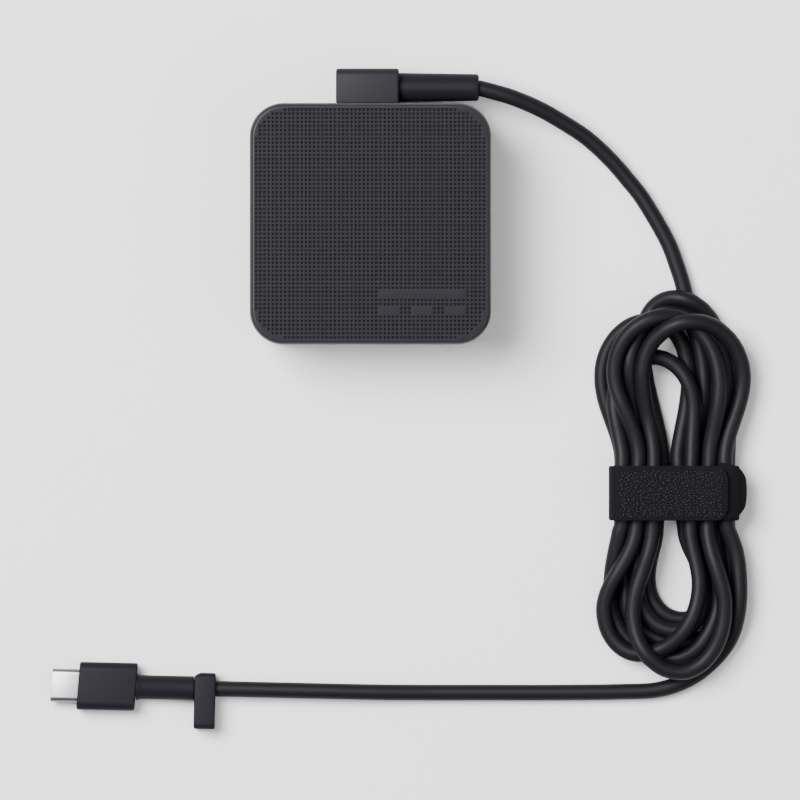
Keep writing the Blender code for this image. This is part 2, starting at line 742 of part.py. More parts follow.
def small_components():
    filter_size = (13 * MM, 5.6 * MM, 10 * MM)
    component("line_filter_capacitor", -18.5 * MM, -1.6 * MM, filter_size, FILM_BOX, rim=0.5 * MM)
    fuse_z = FLOOR_Z + 1.8 * MM
    rod("line_fuse", (-8.5 * MM, 8 * MM, fuse_z), (-8.5 * MM, 18 * MM, fuse_z), 1.8 * MM, CERAMIC, 16)
    disc_z = FLOOR_Z + 4 * MM
    disc_y = 20.2 * MM
    rod("thermistor", (-20.5 * MM, disc_y, disc_z), (-17 * MM, disc_y, disc_z), 4 * MM, THERMISTOR, 20)
    cap_z = FLOOR_Z + 3.2 * MM
    rod("safety_capacitor", (-1 * MM, 15 * MM, cap_z), (1.5 * MM, 15 * MM, cap_z), 3.2 * MM, DISC_BLUE, 20)
    bridge_size = (6.5 * MM, 8 * MM, 2.6 * MM)
    component("bridge_rectifier", -6.5 * MM, 0.5 * MM, bridge_size, CHIP, rim=0.3 * MM, ends=(1,))
    component("switch_heat_sink", 4.5 * MM, -11.2 * MM, (12 * MM, MM, 9 * MM), ALUMINIUM)
    component("switching_transistor", 4.5 * MM, -13.4 * MM, (6.6 * MM, 2.4 * MM, 6.2 * MM), CHIP)
    component("power_controller", 1 * MM, -21 * MM, (5 * MM, 4 * MM, 1.5 * MM), CHIP)
    component("optocoupler", 20.5 * MM, -12.5 * MM, (6.4 * MM, 4.6 * MM, 3.2 * MM), CHIP)
    component("output_rectifier", 23 * MM, -19 * MM, (4 * MM, 5 * MM, 1.2 * MM), CHIP)
    component("output_board", OUTPUT_BOARD_X, OUTPUT_BOARD_Y, (16 * MM, MM, 9 * MM), BOARD)
    chip_base = FLOOR_Z + 3 * MM
    chip_y = OUTPUT_BOARD_Y - 1.3 * MM
    chip_size = (4 * MM, 0.9 * MM, 4 * MM)
    component("charging_controller", OUTPUT_BOARD_X, chip_y, chip_size, CHIP, base=chip_base)


def output_leads():
    """Three insulated leads from the outlet's flange to the output board."""
    start_y = BODY_SIDE / 2 - REAR_WALL - GAP - FLANGE_THICKNESS - GAP
    radius = 0.6 * MM
    low_z = FLOOR_Z + radius
    endings = (("lead_positive", 1, RED), ("lead_signal", 0, WHITE), ("lead_return", -1, BLACK))
    for name, place, material in endings:
        x = NECK_CENTRE_X + place * 1.8 * MM
        lane_y = start_y - (3.2 - 1.6 * place) * MM
        end_x = OUTPUT_BOARD_X + place * 5.5 * MM
        knots = [
            (x, start_y, low_z),
            (x + 0.2 * MM, lane_y + 0.8 * MM, low_z),
            (x + 1.2 * MM, lane_y, low_z),
            (end_x - 1.2 * MM, lane_y, low_z),
            (end_x, lane_y - 1.2 * MM, low_z),
            (end_x, OUTPUT_BOARD_Y + MM / 2 + GAP, low_z),
        ]
        tube(name, smooth_route(knots, 1.6 * MM), radius, material, resolution=1)


def heat_spreader():
    half = BODY_SIDE / 2 - 5 * MM
    top = BODY_HEIGHT - WALL - GAP
    low_z = top - SPREADER_THICKNESS
    box("heat_spreader", (-half, -half, low_z), (half, half, top), ALUMINIUM, corner=4 * MM)
    film_top = low_z - GAP
    film_low = film_top - FILM_THICKNESS
    box("insulating_film", (-half, -half, film_low), (half, half, film_top), FILM, corner=4 * MM)


# ---------------------------------------------------------------- cord outlet


def outlet_block():
    """Block on the +Y side. Its neck passes between the covers, and a flange holds it from inside."""
    block = box(
        "outlet_block",
        OUTLET_LOW,
        OUTLET_HIGH,
        CASE,
        corner=OUTLET_EDGE,
        axis=1,
        steps=3,
        rim=OUTLET_EDGE,
        ends=(1,),
    )
    inner_face = BODY_SIDE / 2 - REAR_WALL - GAP
    neck = box(
        "outlet_neck",
        (NECK_CENTRE_X - NECK_HALF_WIDTH, inner_face - MM, SEAM_Z - NECK_HALF_HEIGHT),
        (NECK_CENTRE_X + NECK_HALF_WIDTH, OUTLET_LOW[1] + MM, SEAM_Z + NECK_HALF_HEIGHT),
    )
    flange = box(
        "outlet_flange",
        (NECK_CENTRE_X - FLANGE_HALF_WIDTH, inner_face - FLANGE_THICKNESS, SEAM_Z - FLANGE_HALF_HEIGHT),
        (NECK_CENTRE_X + FLANGE_HALF_WIDTH, inner_face, SEAM_Z + FLANGE_HALF_HEIGHT),
    )
    join(block, neck, flange)
    smooth(block)


def strain_relief():
    """Slightly tapered round sleeve out of the block's +X side."""
    y, z = SLEEVE_AXIS
    start_x = OUTLET_HIGH[0] + GAP
    length = SLEEVE_END_X - start_x
    round_off = 0.7 * MM
    profile = [
        (0, length),
        (SLEEVE_END_RADIUS - round_off, length),
        (SLEEVE_END_RADIUS - 0.3 * round_off, length - 0.3 * round_off),
        (SLEEVE_END_RADIUS, length - round_off),
        (SLEEVE_RADIUS, 0),
        (0, 0),
    ]
    turned("strain_relief", profile, (start_x, y, z), RUBBER, axis=(1, 0, 0))


# ---------------------------------------------------------------- cord, hank, strap


def cord_lead():
    knots = [Vector(point) * MM for point in LEAD_ROUTE]
    tube("cord_lead", smooth_route(knots, CORD_STEP), CORD_DIAMETER / 2, CORD)


def cord_tail():
    """From the hank to the plug. Its last stretch is straight, and the keeper slides on it."""
    frame = plug_matrix()
    knots = [Vector(point) * MM for point in TAIL_ROUTE]
    steps = 3
    for i in range(steps, -1, -1):
        knots.append(frame @ Vector((GAP + STRAIGHT_RUN * i / steps, 0, 0)))
    tube("cord_tail", smooth_route(knots, CORD_STEP), CORD_DIAMETER / 2, CORD)


def hank_outline(points=56):
    """Long oval, pinched at the waist."""
    outline = []
    for i in range(points):
        angle = 2 * math.pi * i / points
        y = HANK_LENGTH / 2 * math.sin(angle)
        pinch = 1 - HANK_PINCH * math.exp(-((y / HANK_PINCH_REACH) ** 2))
        x = HANK_WIDTH / 2 * pinch * math.copysign(abs(math.cos(angle)) ** 0.75, math.cos(angle))
        outline.append((HANK_CENTRE[0] + x, HANK_CENTRE[1] + y))
    return outline


def cord_hank():
    """Outer shape of the wound cord, narrowed and lifted where the strap goes round it."""
    hank = outline_solid("cord_hank", hank_outline(), 0.0, HANK_HEIGHT, CORD)
    groove = box(
        "strap_groove",
        (STRAP_X[0] - 10 * MM, STRAP_Y[0] - GAP, -STRAP_THICKNESS),
        (STRAP_X[1] + 10 * MM, STRAP_Y[1] + GAP, HANK_HEIGHT + STRAP_THICKNESS),
    )
    waist = strap_box("hank_waist", STRAP_THICKNESS + GAP, reach=10 * MM)
    cut(groove, waist)
    cut(hank, groove)


def strap_box(name, inset, material=None, reach=0.0):
    """Rounded block for the strap's ring, moved in by inset and longer by reach at each end."""
    top = 2 * STRAP_THICKNESS + STRAP_ROOM
    return box(
        name,
        (STRAP_X[0] + inset, STRAP_Y[0] - reach, inset),
        (STRAP_X[1] - inset, STRAP_Y[1] + reach, top - inset),
        material,
        corner=3 * MM - inset / 2,
        axis=1,
    )


def cable_strap():
    """Ring round the waist, with the free end lying on it."""
    strap = strap_box("cable_strap", 0.0, STRAP)
    cut(strap, strap_box("strap_inside", STRAP_THICKNESS, reach=10 * MM))
    top = 2 * STRAP_THICKNESS + STRAP_ROOM
    free_end = box(
        "strap_free_end",
        (STRAP_X[0] + 3 * MM, STRAP_Y[0], top - STRAP_THICKNESS / 2),
        (STRAP_END_X, STRAP_Y[1], top + STRAP_THICKNESS),
        corner=STRAP_END_CORNER,
    )
    join(strap, free_end)


# ---------------------------------------------------------------- plug and keeper


def plug():
    """All of the plug, in its own axes on the plug's empty."""
    frame = empty("plug_frame", PLUG_ORIGIN, PLUG_TURN)
    relief_profile = [
        (0, RELIEF_LENGTH),
        (RELIEF_RADIUS, RELIEF_LENGTH),
        (RELIEF_RADIUS, RELIEF_EDGE),
        (RELIEF_RADIUS - RELIEF_EDGE, 0),
        (0, 0),
    ]
    relief = turned("plug_strain_relief", relief_profile, (0, 0, 0), RUBBER, axis=(-1, 0, 0))

    back = -RELIEF_LENGTH - GAP
    front = back - OVERMOULD_LENGTH
    half_width, half_height = OVERMOULD_WIDTH / 2, OVERMOULD_HEIGHT / 2
    overmould = box(
        "plug_overmould",
        (front, -half_width, -half_height),
        (back, half_width, half_height),
        RUBBER,
        corner=OVERMOULD_CORNER,
        axis=0,
        steps=6,
        rim=OVERMOULD_EDGE,
    )
    room_front = front + OVERMOULD_WALL
    room = box(
        "overmould_room",
        (room_front, OVERMOULD_WALL - half_width, OVERMOULD_WALL - half_height),
        (back - OVERMOULD_WALL, half_width - OVERMOULD_WALL, half_height - OVERMOULD_WALL),
        corner=OVERMOULD_CORNER - OVERMOULD_WALL,
        axis=0,
    )
    shell_back = front + SHELL_ROOT
    mouth = shell_blank("overmould_mouth", front - MM, shell_back, -GAP)
    cut(overmould, room, mouth)

    tip = front - SHELL_LENGTH
    shell = shell_blank("plug_shell", tip, shell_back, 0.0, NICKEL)
    bore = shell_blank("shell_bore", tip - MM, shell_back + MM, SHELL_WALL)
    cut(shell, bore)

    liner_inset = SHELL_WALL + LINER_GAP
    insulator = shell_blank("plug_insulator", tip + LINER_SET_BACK, shell_back, liner_inset, INSULATOR)
    slot = box(
        "insulator_slot",
        (tip - MM, -TONGUE_HALF_WIDTH, -TONGUE_HALF_HEIGHT),
        (shell_back - 2 * MM, TONGUE_HALF_WIDTH, TONGUE_HALF_HEIGHT),
    )
    cut(insulator, slot)
    board = box(
        "plug_board",
        (shell_back + PLUG_BOARD_MARGIN, -PLUG_BOARD_HALF_WIDTH, -PLUG_BOARD_HALF_HEIGHT),
        (back - OVERMOULD_WALL - PLUG_BOARD_MARGIN, PLUG_BOARD_HALF_WIDTH, PLUG_BOARD_HALF_HEIGHT),
        BOARD,
    )
    pieces = [relief, overmould, room, mouth, shell, bore, insulator, slot, board]
    for name, end in (("plug_contacts_upper", 1), ("plug_contacts_lower", -1)):
        pieces += contact_row(name, end, shell_back + GAP)
    hang_on(frame, *pieces)


def contact_row(name, end, start_x):
    """Bar across the plug with its solder tails, above or below the paddle board."""
    near = end * (PLUG_BOARD_HALF_HEIGHT + GAP)
    far = near + end * CONTACT_HEIGHT
    low_z, high_z = min(near, far), max(near, far)
    half_width = CONTACT_PITCH * (CONTACT_COUNT + 1) / 2
    row = box(name, (start_x, -half_width, low_z), (start_x + CONTACT_BAR, half_width, high_z), GOLD)
    tails = []
    for number in range(CONTACT_COUNT):
        y = (number - (CONTACT_COUNT - 1) / 2) * CONTACT_PITCH
        tail = box(
            f"{name}_{number + 1}",
            (start_x + CONTACT_BAR / 2, y - CONTACT_TAIL_HALF_WIDTH, low_z),
            (start_x + CONTACT_REACH, y + CONTACT_TAIL_HALF_WIDTH, high_z),
        )
        join(row, tail)
        tails.append(tail)
    return [row, *tails]


def shell_blank(name, start_x, end_x, inset, material=None):
    """Bar of the metal shell's oval section, moved in by inset."""
    half_width = SHELL_WIDTH / 2 - inset
    half_height = SHELL_HEIGHT / 2 - inset
    return box(
        name,
        (start_x, -half_width, -half_height),
        (end_x, half_width, half_height),
        material,
        corner=half_height * 0.96,
        axis=0,
        steps=5,
    )


def cord_keeper():
    """Rubber clip: a closed eye round the cord and an open hook beside it. It slides along the cord."""
    slide = empty("keeper_slide", PLUG_ORIGIN, PLUG_TURN)
    half_height = KEEPER_HEIGHT / 2
    keeper = box(
        "cord_keeper",
        (KEEPER_X[0], KEEPER_Y[0], -half_height),
        (KEEPER_X[1], KEEPER_Y[1], half_height),
        RUBBER,
        corner=KEEPER_CORNER,
        axis=0,
        steps=6,
    )
    ends = (KEEPER_X[0] - MM, KEEPER_X[1] + MM)
    eye = rod("keeper_eye", (ends[0], 0, 0), (ends[1], 0, 0), CORD_DIAMETER / 2 + GAP, segments=20)
    hook_start = (ends[0], KEEPER_HOOK_Y, 0)
    hook_end = (ends[1], KEEPER_HOOK_Y, 0)
    hook = rod("keeper_hook", hook_start, hook_end, KEEPER_HOOK_RADIUS, segments=20)
    slit = box(
        "keeper_slit",
        (ends[0], KEEPER_Y[0] - MM, -KEEPER_SLIT / 2),
        (ends[1], KEEPER_HOOK_Y, KEEPER_SLIT / 2),
    )
    cut(keeper, eye, hook, slit)
    smooth(keeper)
    hang_on(slide, keeper, eye, hook, slit)


clear_scene()
PARTS = new_collection("power_adapter")
CUTTERS = new_collection("cutters")

CASE = look("case_plastic", (0.045, 0.044, 0.050), 0.55)
CARRIER = look("carrier_plastic", (0.05, 0.05, 0.055), 0.5)
LABEL = look("label_film", (0.10, 0.10, 0.11), 0.4)
NICKEL = look("nickel_plate", (0.72, 0.71, 0.69), 0.22, 1.0)
SPRING_METAL = look("spring_bronze", (0.62, 0.48, 0.30), 0.3, 1.0)
BOARD = look("board_laminate", (0.02, 0.16, 0.07), 0.45)
FERRITE = look("ferrite", (0.06, 0.06, 0.065), 0.7)
BOBBIN = look("bobbin_plastic", (0.03, 0.03, 0.03), 0.5)
TAPE = look("winding_tape", (0.75, 0.55, 0.08), 0.35)
SLEEVING = look("capacitor_sleeve", (0.02, 0.03, 0.07), 0.35)
CAN = look("aluminium_can", (0.75, 0.76, 0.78), 0.3, 1.0)
ALUMINIUM = look("aluminium_sheet", (0.66, 0.67, 0.69), 0.4, 1.0)
CORE_COAT = look("core_coating", (0.03, 0.22, 0.12), 0.4)
COPPER = look("enamelled_copper", (0.55, 0.22, 0.09), 0.3, 1.0)
FILM_BOX = look("film_capacitor_box", (0.75, 0.62, 0.10), 0.4)
CERAMIC = look("fuse_ceramic", (0.78, 0.76, 0.70), 0.5)
THERMISTOR = look("thermistor_coat", (0.06, 0.10, 0.06), 0.5)
DISC_BLUE = look("disc_capacitor_coat", (0.05, 0.14, 0.42), 0.4)
CHIP = look("chip_mould", (0.025, 0.025, 0.028), 0.5)
FILM = look("insulating_film", (0.70, 0.50, 0.20), 0.3)
RED = look("red_insulation", (0.50, 0.02, 0.02), 0.4)
WHITE = look("white_insulation", (0.70, 0.70, 0.68), 0.4)
BLACK = look("black_insulation", (0.02, 0.02, 0.02), 0.4)
RUBBER = look("moulded_rubber", (0.028, 0.028, 0.030), 0.45)
CORD = look("cord_jacket", (0.020, 0.020, 0.022), 0.38)
STRAP = look("strap_fabric", (0.018, 0.018, 0.020), 0.9)
INSULATOR = look("plug_insulator", (0.02, 0.02, 0.022), 0.5)
GOLD = look("gold_plate", (0.90, 0.66, 0.25), 0.25, 1.0)

front_cover()
rear_cover()
rating_label()
prongs()
prong_bracket()
contact_springs()
detent_spring()
main_board()
transformer()
capacitors()
choke()
small_components()
output_leads()
heat_spreader()
outlet_block()
strain_relief()
cord_lead()
cord_tail()
cord_hank()
cable_strap()
plug()
cord_keeper()
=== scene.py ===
"""Looks of a square power adapter with a pitted front, a strapped hank of cord and a small oval plug.

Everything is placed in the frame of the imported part: metres, +Z up, the adapter lying on its rear face.
"""

import math

import bmesh
import bpy
import numpy as np
from mathutils import Matrix, Vector


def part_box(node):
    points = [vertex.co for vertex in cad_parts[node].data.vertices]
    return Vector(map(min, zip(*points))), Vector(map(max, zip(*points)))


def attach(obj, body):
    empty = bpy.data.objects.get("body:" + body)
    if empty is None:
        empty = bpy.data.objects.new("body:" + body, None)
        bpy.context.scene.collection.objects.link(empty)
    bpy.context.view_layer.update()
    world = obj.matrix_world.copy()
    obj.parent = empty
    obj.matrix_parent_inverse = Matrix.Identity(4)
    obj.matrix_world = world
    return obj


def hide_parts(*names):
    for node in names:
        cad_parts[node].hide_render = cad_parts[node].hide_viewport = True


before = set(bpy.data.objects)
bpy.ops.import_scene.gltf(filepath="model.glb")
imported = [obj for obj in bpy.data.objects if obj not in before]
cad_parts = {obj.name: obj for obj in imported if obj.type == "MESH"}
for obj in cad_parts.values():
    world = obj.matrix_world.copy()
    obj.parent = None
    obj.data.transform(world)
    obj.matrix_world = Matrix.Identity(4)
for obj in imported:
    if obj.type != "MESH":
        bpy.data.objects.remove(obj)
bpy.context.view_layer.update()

MM = 0.001
QUARTER = math.pi / 2  # of a turn

# Cord, in millimetres until it is built
CORD = 4.0  # diameter
LEAD_ROUTE = [  # from inside the sleeve down to the surface and over to the top of the hank
    (25.6, 34.0, 11.0),
    (27.6, 33.7, 11.0),
    (33.5, 32.1, 10.6),
    (37.2, 30.8, 9.8),
    (42.2, 28.6, 8.3),
    (47.2, 25.8, 6.6),
    (53.8, 21.5, 4.6),
    (59.8, 16.0, 3.1),
    (64.3, 10.8, 2.3),
    (68.1, 5.9, 2.1),
    (73.8, -4.0, 2.0),
    (76.6, -11.5, 2.0),
    (77.8, -15.6, 2.0),
    (79.2, -22.0, 2.0),
    (80.7, -29.0, 2.0),
    (81.9, -36.5, 2.0),
    (82.2, -44.0, 2.1),
    (81.4, -52.0, 2.6),
]
TAIL_ROUTE = [  # from the strap down the right of the hank, round its foot and along to the plug
    (90.8, -81.6, 6.4),
    (91.5, -89.0, 4.6),
    (91.0, -96.5, 2.6),
    (89.3, -103.0, 2.0),
    (85.4, -108.5, 2.0),
    (79.6, -113.1, 2.0),
    (72.0, -115.9, 2.0),
    (62.0, -116.5, 2.0),
    (45.0, -116.7, 2.0),
    (28.0, -116.7, 2.0),
    (14.0, -116.7, 2.2),
    (2.0, -116.6, 2.9),
]
PLUG_END = (-44.3, -115.6, 3.25)  # where the cord enters the plug's strain relief
PLUG_TURN = math.radians(-1.28)
STRAIGHT_RUN = 36.0  # of cord in front of the plug, which the keeper slides on
RUN_POINTS = 12

# Hank: the cord passes through the strap 13 times, and turns in a bend after each pass but the last
STRAP_TOP = -58.5  # just above the strap
STRAP_FOOT = -75.5  # just below it
PASSES = [  # x above the strap, x below it, layer in the strap
    (81.2, 81.6, 0),
    (72.0, 70.3, 0),
    (88.2, 88.6, 0),
    (62.6, 61.3, 0),
    (77.5, 80.4, 0),
    (67.4, 65.9, 0),
    (85.2, 85.0, 0),
    (62.6, 61.3, 1),
    (80.2, 79.6, 1),
    (66.4, 65.0, 1),
    (85.0, 84.2, 1),
    (70.6, 70.3, 1),
    (87.9, 88.6, 1),
]
BENDS = [  # the side that the cord swells to, the crown, the other side, and how many bends lie below it
    ((86.0, -88.0), (77.2, -98.7), (67.6, -88.0), 0),
    ((67.2, -30.5), (75.4, -19.0), (88.8, -42.0), 1),
    ((90.0, -92.0), (77.5, -104.6), (62.4, -92.0), 1),
    ((58.2, -37.5), (70.6, -23.9), (80.5, -37.6), 2),
    ((84.4, -90.0), (76.5, -101.4), (67.0, -90.0), 2),
    ((64.6, -36.0), (75.0, -22.0), (89.0, -39.0), 4),
    ((86.4, -91.0), (75.5, -108.0), (60.6, -94.0), 3),
    ((60.6, -44.0), (70.6, -33.2), (80.6, -46.0), 3),
    ((82.1, -90.0), (67.0, -107.0), (57.9, -95.5), 4),
    ((60.6, -37.5), (74.8, -23.1), (87.4, -40.0), 5),
    ((88.0, -95.0), (77.0, -111.5), (65.3, -96.5), 5),
    ((67.0, -37.5), (79.2, -24.0), (92.6, -38.5), 6),
]
LAYER_Z = (3.15, 7.2)  # the cord's height in each layer
STRAP_INSIDE = ((60.6, 90.9), (1.2, 9.6))  # from and to, in x and in z
ROUTE_STEP = 1.5
DRAWN_STEP = 0.8  # between the points of the finished curve

# How the cord settles
ROUNDS = 500
SINK = 0.10  # in each round
PULL_HOME = 0.06  # share of the way back to its place in plan, in each round
SEARCH_EVERY = 8  # rounds
SEARCH_REACH = 1.8 * CORD
SAME_TURN = 1.6 * CORD  # points within this along the cord don't push each other
PASSES_A_ROUND = 4
GIVE = (0.45, 0.45, 1.0)  # turns part more readily upwards than sideways
OVERSHOOT = 1.3
PLAN_SMOOTHING = 4
HEIGHT_SMOOTHING = 2
LEAD_CORNER = (70, -12)  # the lead, left of and above this in plan, is fixed
HANK_LEFT = 55  # all that is left of this is fixed


def ease(t):
    """Goes from 0 to 1 with no slope at either end."""
    return t * t * (3 - 2 * t)


def resample(points, step):
    """Points every step or so along a path, at even distances."""
    points = np.asarray(points, float)
    reach = np.concatenate([[0], np.cumsum(np.linalg.norm(np.diff(points, axis=0), axis=1))])
    count = max(2, round(reach[-1] / step) + 1)
    wanted = np.linspace(0, reach[-1], count)
    return np.stack([np.interp(wanted, reach, points[:, k]) for k in range(3)], axis=1)


def smooth_curve(knots, divisions=16):
    """A Catmull-Rom curve through the knots."""
    knots = np.asarray(knots, float)
    spots = np.vstack([2 * knots[0] - knots[1], knots, 2 * knots[-1] - knots[-2]])
    a, b, c, d = (spots[k : len(spots) - 3 + k, None, :] for k in range(4))
    t = (np.arange(divisions) / divisions)[None, :, None]
    square = (2 * a - 5 * b + 4 * c - d) * t**2
    cube = (3 * b - a - 3 * c + d) * t**3
    curve = 0.5 * (2 * b + (c - a) * t + square + cube)
    return np.vstack([curve.reshape(-1, 3), knots[-1:]])


def leg(start, end, z_start, z_end, divisions=10):
    """Stretch from the strap out to a bend's side, or back: upright at both ends."""
    t = np.linspace(0, 1, divisions)
    x = start[0] + (end[0] - start[0]) * ease(t)
    y = start[1] + (end[1] - start[1]) * t
    return np.stack([x, y, z_start + (z_end - z_start) * ease(t)], axis=1)


def quarter(side, crown, z, divisions=10):
    """A quarter of an ellipse, from a bend's side to its crown."""
    t = np.linspace(0, QUARTER, divisions)
    x = crown[0] + (side[0] - crown[0]) * np.cos(t)
    y = side[1] + (crown[1] - side[1]) * np.sin(t)
    return np.stack([x, y, np.full_like(t, z)], axis=1)


def hank_route():
    """The cord's route before it settles, with each bend a full diameter above those below it."""
    rest = CORD / 2
    route = []
    for index, (bend, entering, leaving) in enumerate(zip(BENDS, PASSES, PASSES[1:])):
        side_in, crown, side_out, level = bend
        downward = index % 2 == 0
        y = STRAP_FOOT if downward else STRAP_TOP
        column = 1 if downward else 0
        z = rest + CORD * level
        route += [
            leg((entering[column], y), side_in, LAYER_Z[entering[2]], z),
            quarter(side_in, crown, z)[1:],
            quarter(side_out, crown, z)[::-1][1:],
            leg((leaving[column], y), side_out, LAYER_Z[leaving[2]], z)[::-1][1:],
        ]
    first = (PASSES[0][0], STRAP_TOP, LAYER_Z[PASSES[0][2]])
    last = (PASSES[-1][1], STRAP_FOOT, LAYER_Z[PASSES[-1][2]])
    heading = np.array([math.cos(PLUG_TURN), math.sin(PLUG_TURN), 0])
    run_start = np.array(PLUG_END) + STRAIGHT_RUN * heading
    lead = smooth_curve([*LEAD_ROUTE, first])
    tail = smooth_curve([last, *TAIL_ROUTE, run_start])
    run = np.linspace(run_start, np.array(PLUG_END), RUN_POINTS)
    return resample(np.vstack([lead, *route, tail, run[1:]]), ROUTE_STEP)


def neighbours(points, reach, apart):
    """Pairs of points that are closer than reach, but further than apart along the cord."""
    gaps = points[:, None, :] - points[None, :, :]
    near = np.einsum("ijk,ijk->ij", gaps, gaps) < reach * reach
    first, second = np.nonzero(np.triu(near, apart))
    return first, second


def smooth_along(values):
    """Moves each value but the first and last halfway to the middle of its neighbours."""
    values[1:-1] += 0.5 * (0.5 * (values[:-2] + values[2:]) - values[1:-1])


def part_turns(points, first, second):
    """Shift of each point that parts the turns lying closer than a diameter."""
    gap = points[first] - points[second]
    distance = np.linalg.norm(gap, axis=1)
    close = distance < CORD
    push = 0.5 * (CORD - distance[close]) / distance[close]
    shift = gap[close] * push[:, None] * np.array(GIVE)
    total = np.zeros_like(points)
    count = np.ones(len(points))
    np.add.at(total, first[close], shift)
    np.add.at(total, second[close], -shift)
    np.add.at(count, first[close], 0.5)
    np.add.at(count, second[close], 0.5)
    return total / count[:, None] * OVERSHOOT


def settle(route):
    """Lets the cord sink under its weight until its turns lie on the surface and on each other.

    A point keeps close to its place in plan, and stays a diameter away from other turns, above the
    surface and inside the strap. Shifts are shared along the cord, because it is stiff.
    """
    points = route.copy()
    radius = CORD / 2
    apart = round(SAME_TURN / ROUTE_STEP)
    in_lead = (route[:, 0] < LEAD_CORNER[0]) & (route[:, 1] > LEAD_CORNER[1])
    fixed = in_lead | (route[:, 0] < HANK_LEFT)
    (x_low, x_high), (z_low, z_high) = STRAP_INSIDE
    for round_number in range(ROUNDS):
        if round_number % SEARCH_EVERY == 0:
            first, second = neighbours(points, SEARCH_REACH, apart)
        points[:, 2] -= SINK
        points[:, :2] += PULL_HOME * (route[:, :2] - points[:, :2])
        for _ in range(PASSES_A_ROUND):
            points += part_turns(points, first, second)
            moved = points[:, :2] - route[:, :2]
            for _ in range(PLAN_SMOOTHING):
                smooth_along(moved)
            points[:, :2] = route[:, :2] + moved
            for _ in range(HEIGHT_SMOOTHING):
                smooth_along(points[:, 2])
            points[:, 2] = np.maximum(points[:, 2], radius)
            held = (points[:, 1] < STRAP_TOP) & (points[:, 1] > STRAP_FOOT) & (points[:, 0] > HANK_LEFT)
            points[held, 0] = np.clip(points[held, 0], x_low + radius, x_high - radius)
            points[held, 2] = np.clip(points[held, 2], z_low + radius, z_high - radius)
            points[fixed] = route[fixed]
    return points


def place(name, data, slot, body="adapter", replaces=(), finish_name=None):
    """Links a new piece, gives it its slot's finish or the one named, and lets it ride on a body."""
    piece = bpy.data.objects.new(name, data)
    bpy.context.scene.collection.objects.link(piece)
    data.materials.append(FINISHES[finish_name or slot])
    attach(piece, body)
    if replaces:
        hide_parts(*replaces)
    return piece


def build_cord():
    """The whole cord as one round tube along its settled route."""
    line = settle(hank_route())
    line = resample(smooth_curve(line, 3), DRAWN_STEP)
    curve = bpy.data.curves.new("cord", "CURVE")
    curve.dimensions = "3D"
    curve.bevel_depth = CORD / 2 * MM
    curve.bevel_resolution = 4
    curve.use_fill_caps = True
    spline = curve.splines.new("POLY")
    spline.points.add(len(line) - 1)
    spline.points.foreach_set("co", np.column_stack([line * MM, np.ones(len(line))]).ravel())
    spline.use_smooth = True
    return place("cord", curve, "cord_jacket", replaces=("cord_lead", "cord_hank", "cord_tail"))


# ---------------------------------------------------------------- finishes


BROAD_PATCH = 9  # size in mm of the patches over which tone and roughness drift
ROUGHNESS_DRIFT = 0.07
BRUSH_STRETCH = (0.08, 1, 1)
WAVE_SCALE = 0.314  # of a wave texture whose bands repeat every millimetre
WAVE_DISTORTION = 0.4


def finish(slot, colour, roughness, metallic, kind, size, relief, mottle, gloss=0.5):
    """Material with a fine pattern: grain, brushed, weave or bands. Its size and its relief are in mm.

    Mottle is how much the colour varies with the pattern, as a share.
    """
    made = bpy.data.materials.new(slot)
    made.use_nodes = True
    nodes, links = made.node_tree.nodes, made.node_tree.links
    shader = nodes["Principled BSDF"]
    shader.inputs["Metallic"].default_value = metallic
    shader.inputs["Specular IOR Level"].default_value = gloss
    place_node = nodes.new("ShaderNodeTexCoord")

    def noise(scale_mm, detail, stretch=(1, 1, 1)):
        mapping = nodes.new("ShaderNodeMapping")
        mapping.inputs["Scale"].default_value = stretch
        links.new(place_node.outputs["Object"], mapping.inputs["Vector"])
        texture = nodes.new("ShaderNodeTexNoise")
        texture.inputs["Scale"].default_value = 1 / (scale_mm * MM)
        texture.inputs["Detail"].default_value = detail
        links.new(mapping.outputs["Vector"], texture.inputs["Vector"])
        return texture.outputs["Fac"]

    def wave(direction):
        texture = nodes.new("ShaderNodeTexWave")
        texture.bands_direction = direction
        texture.inputs["Scale"].default_value = WAVE_SCALE / (size * MM)
        texture.inputs["Distortion"].default_value = WAVE_DISTORTION
        links.new(place_node.outputs["Object"], texture.inputs["Vector"])
        return texture.outputs["Fac"]

    def combine(operation, first, second):
        node = nodes.new("ShaderNodeMath")
        node.operation = operation
        for socket, value in zip(node.inputs, (first, second)):
            if isinstance(value, (int, float)):
                socket.default_value = value
            else:
                links.new(value, socket)
        return node.outputs[0]

    if kind == "brushed":
        fine = noise(size, 3, BRUSH_STRETCH)
    elif kind == "weave":
        fine = combine("MULTIPLY", wave("X"), wave("Y"))
    elif kind == "bands":
        fine = wave("Z")
    else:
        fine = noise(size, 4)
    broad = noise(BROAD_PATCH, 3)
    tone = nodes.new("ShaderNodeMix")
    tone.data_type = "RGBA"
    darker, lighter = (tuple(c * (1 + sign * mottle) for c in colour) for sign in (-1, 1))
    tone.inputs["A"].default_value = (*darker, 1)
    tone.inputs["B"].default_value = (*lighter, 1)
    links.new(combine("MULTIPLY", combine("ADD", fine, broad), 0.5), tone.inputs["Factor"])
    links.new(tone.outputs["Result"], shader.inputs["Base Color"])
    spread = nodes.new("ShaderNodeMapRange")
    spread.inputs["To Min"].default_value = max(0.05, roughness - ROUGHNESS_DRIFT)
    spread.inputs["To Max"].default_value = min(1.0, roughness + ROUGHNESS_DRIFT)
    links.new(broad, spread.inputs["Value"])
    links.new(spread.outputs["Result"], shader.inputs["Roughness"])
    bump = nodes.new("ShaderNodeBump")
    bump.inputs["Distance"].default_value = relief * MM
    bump.inputs["Strength"].default_value = 1.0
    links.new(fine, bump.inputs["Height"])
    links.new(bump.outputs["Normal"], shader.inputs["Normal"])
    return made


